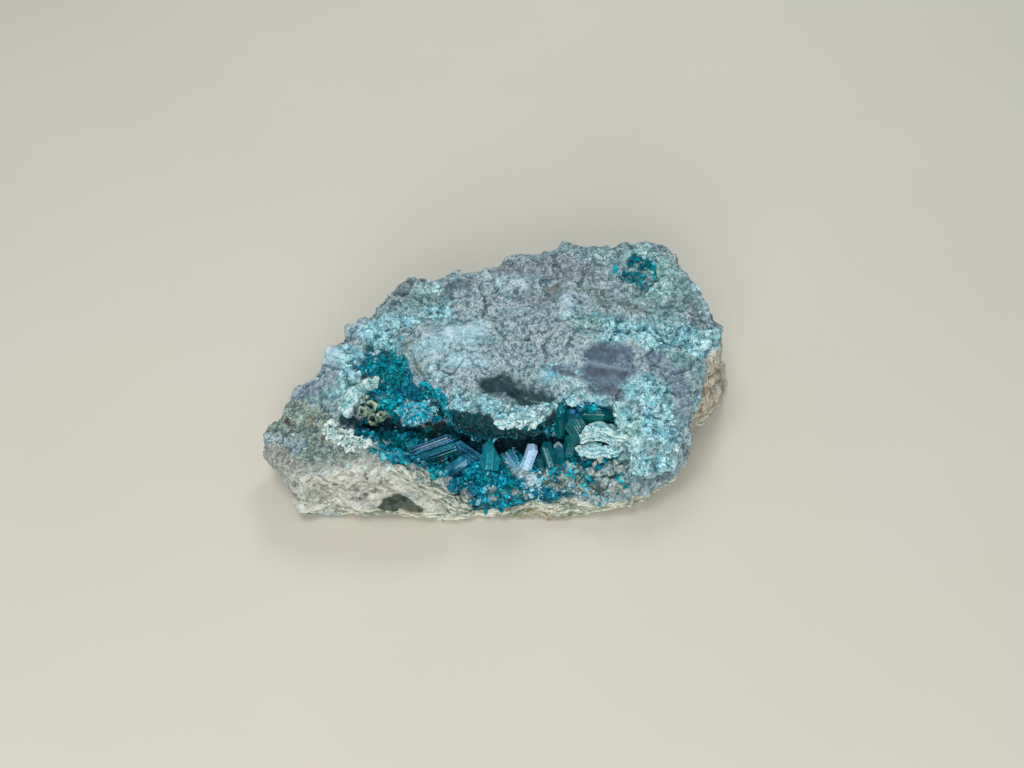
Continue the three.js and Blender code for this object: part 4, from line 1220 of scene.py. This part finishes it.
COUNT = 8800
ON_SHELF = 220
REACH = 4.5  # mm from a CAD druse within which a crystal belongs to it
DRUSE_NODES = [
    "dioptase_left_pocket", "dioptase_brow_lining", "dioptase_floor_left", "dioptase_floor_middle",
    "dioptase_floor_right", "dioptase_top_patch",
]
SCATTERED = len(DRUSE_NODES)  # the number of the crystals that belong to none
node_tree = KDTree(sum(len(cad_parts[name].data.vertices) for name in DRUSE_NODES))
owner = []
for number, name in enumerate(DRUSE_NODES):
    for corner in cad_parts[name].data.vertices:
        node_tree.insert(Vector(corner.co) / MM, len(owner))
        owner.append(number)
node_tree.balance()
owner = np.array(owner)
nearest = [node_tree.find(at) for at in skin.points]
belongs = owner[[found[1] for found in nearest]]
away = np.array([found[2] for found in nearest])
above = step(skin.points[:, 2] - layer_height, -0.3, 0.7)
weights = masks["vug"] * (1 - 0.92 * masks["snow"]) * (1 - masks["crust"]) ** 2
weights = np.maximum(weights, 1.2 * masks["patch"])
weights = weights * step(weights, 0.12, 0.35) + 0.2 * masks["teal"] + 0.12 * masks["beige"]
weights = above * (1 - masks["cream"]) * weights
at, normal, near = strewn(skin, COUNT, weights)
coarse = step(waves(at, 5, 90, 2), -0.2, 0.5)
radius = 0.18 + (0.35 + 0.38 * coarse) * chance.random(COUNT) ** 4
radius *= 1 - 0.4 * masks["deep"][near] - 0.25 * masks["patch"][near]
length = np.minimum(radius * chance.uniform(1.4, 3.8, COUNT), 1.5) * (1 + 0.5 * masks["patch"][near])
shapes = druse_bodies(at, normal, radius, length)
# The last shelf, at the vug's left, carries pale crystals of its own.
perched, leaning, _ = strewn(ledge_skin, ON_SHELF, step(facing_up, -0.1, 0.5))
slight = chance.uniform(0.15, 0.4, ON_SHELF)
perched = druse_bodies(perched, leaning, slight, slight * chance.uniform(1.2, 3.0, ON_SHELF))
# None stands in a large crystal: those within its length and breadth are left out.
clear_of = np.ones(COUNT, bool)
for *_, bodies in HEROES.values():
    for corners, _ in bodies:
        base, tip = corners[-1], corners[-2]
        width = np.linalg.norm(corners[0] - base)
        run = tip - base
        t = (at - base) @ run / (run @ run)
        distance = np.linalg.norm(at - base - t[:, None] * run, axis=1)
        clear_of &= ~((t > 0.1) & (t < 1.1) & (distance < 0.8 * width))
dioptase_druse = crystal_finish("dioptase_druse", "006c88", "06e0fc", "04b8a8", "d8faff", 0.2, 600)
piece_of = np.where(away[near] < REACH, belongs[near], SCATTERED)
glow = 0.85 + 0.9 * waves(at, 2.6, 91, 2)
tones = chance.random(COUNT) * glow * np.clip(1.25 - 0.9 * radius, 0.3, 1)
# Crystals in the painted shade of the cave and under the brow are darker.
tones *= 1 - 0.7 * masks["deep"][near]
for number, name in enumerate([*DRUSE_NODES, "scattered"]):
    chosen = np.nonzero(clear_of & (piece_of == number))[0]
    bodies = [(shapes[n], CRYSTAL_FACES) for n in chosen]
    # 'deep' carries that painted shade onto the crystals' material.
    values = {"tone": tones[chosen] * (0.65 if number == 0 else 1), "deep": masks["deep"][near[chosen]]}
    if number == SCATTERED:
        bodies += [(body, CRYSTAL_FACES) for body in perched]
        values["tone"] = np.concatenate([values["tone"], chance.uniform(0.3, 1, len(perched))])
        values["deep"] = np.concatenate([values["deep"], np.zeros(len(perched))])
        finished(joined("dioptase_scattered", bodies, values), dioptase_druse, "dioptase_druse")
    else:
        finished(joined(name + "_fine", bodies, values), dioptase_druse, "dioptase_druse", name)
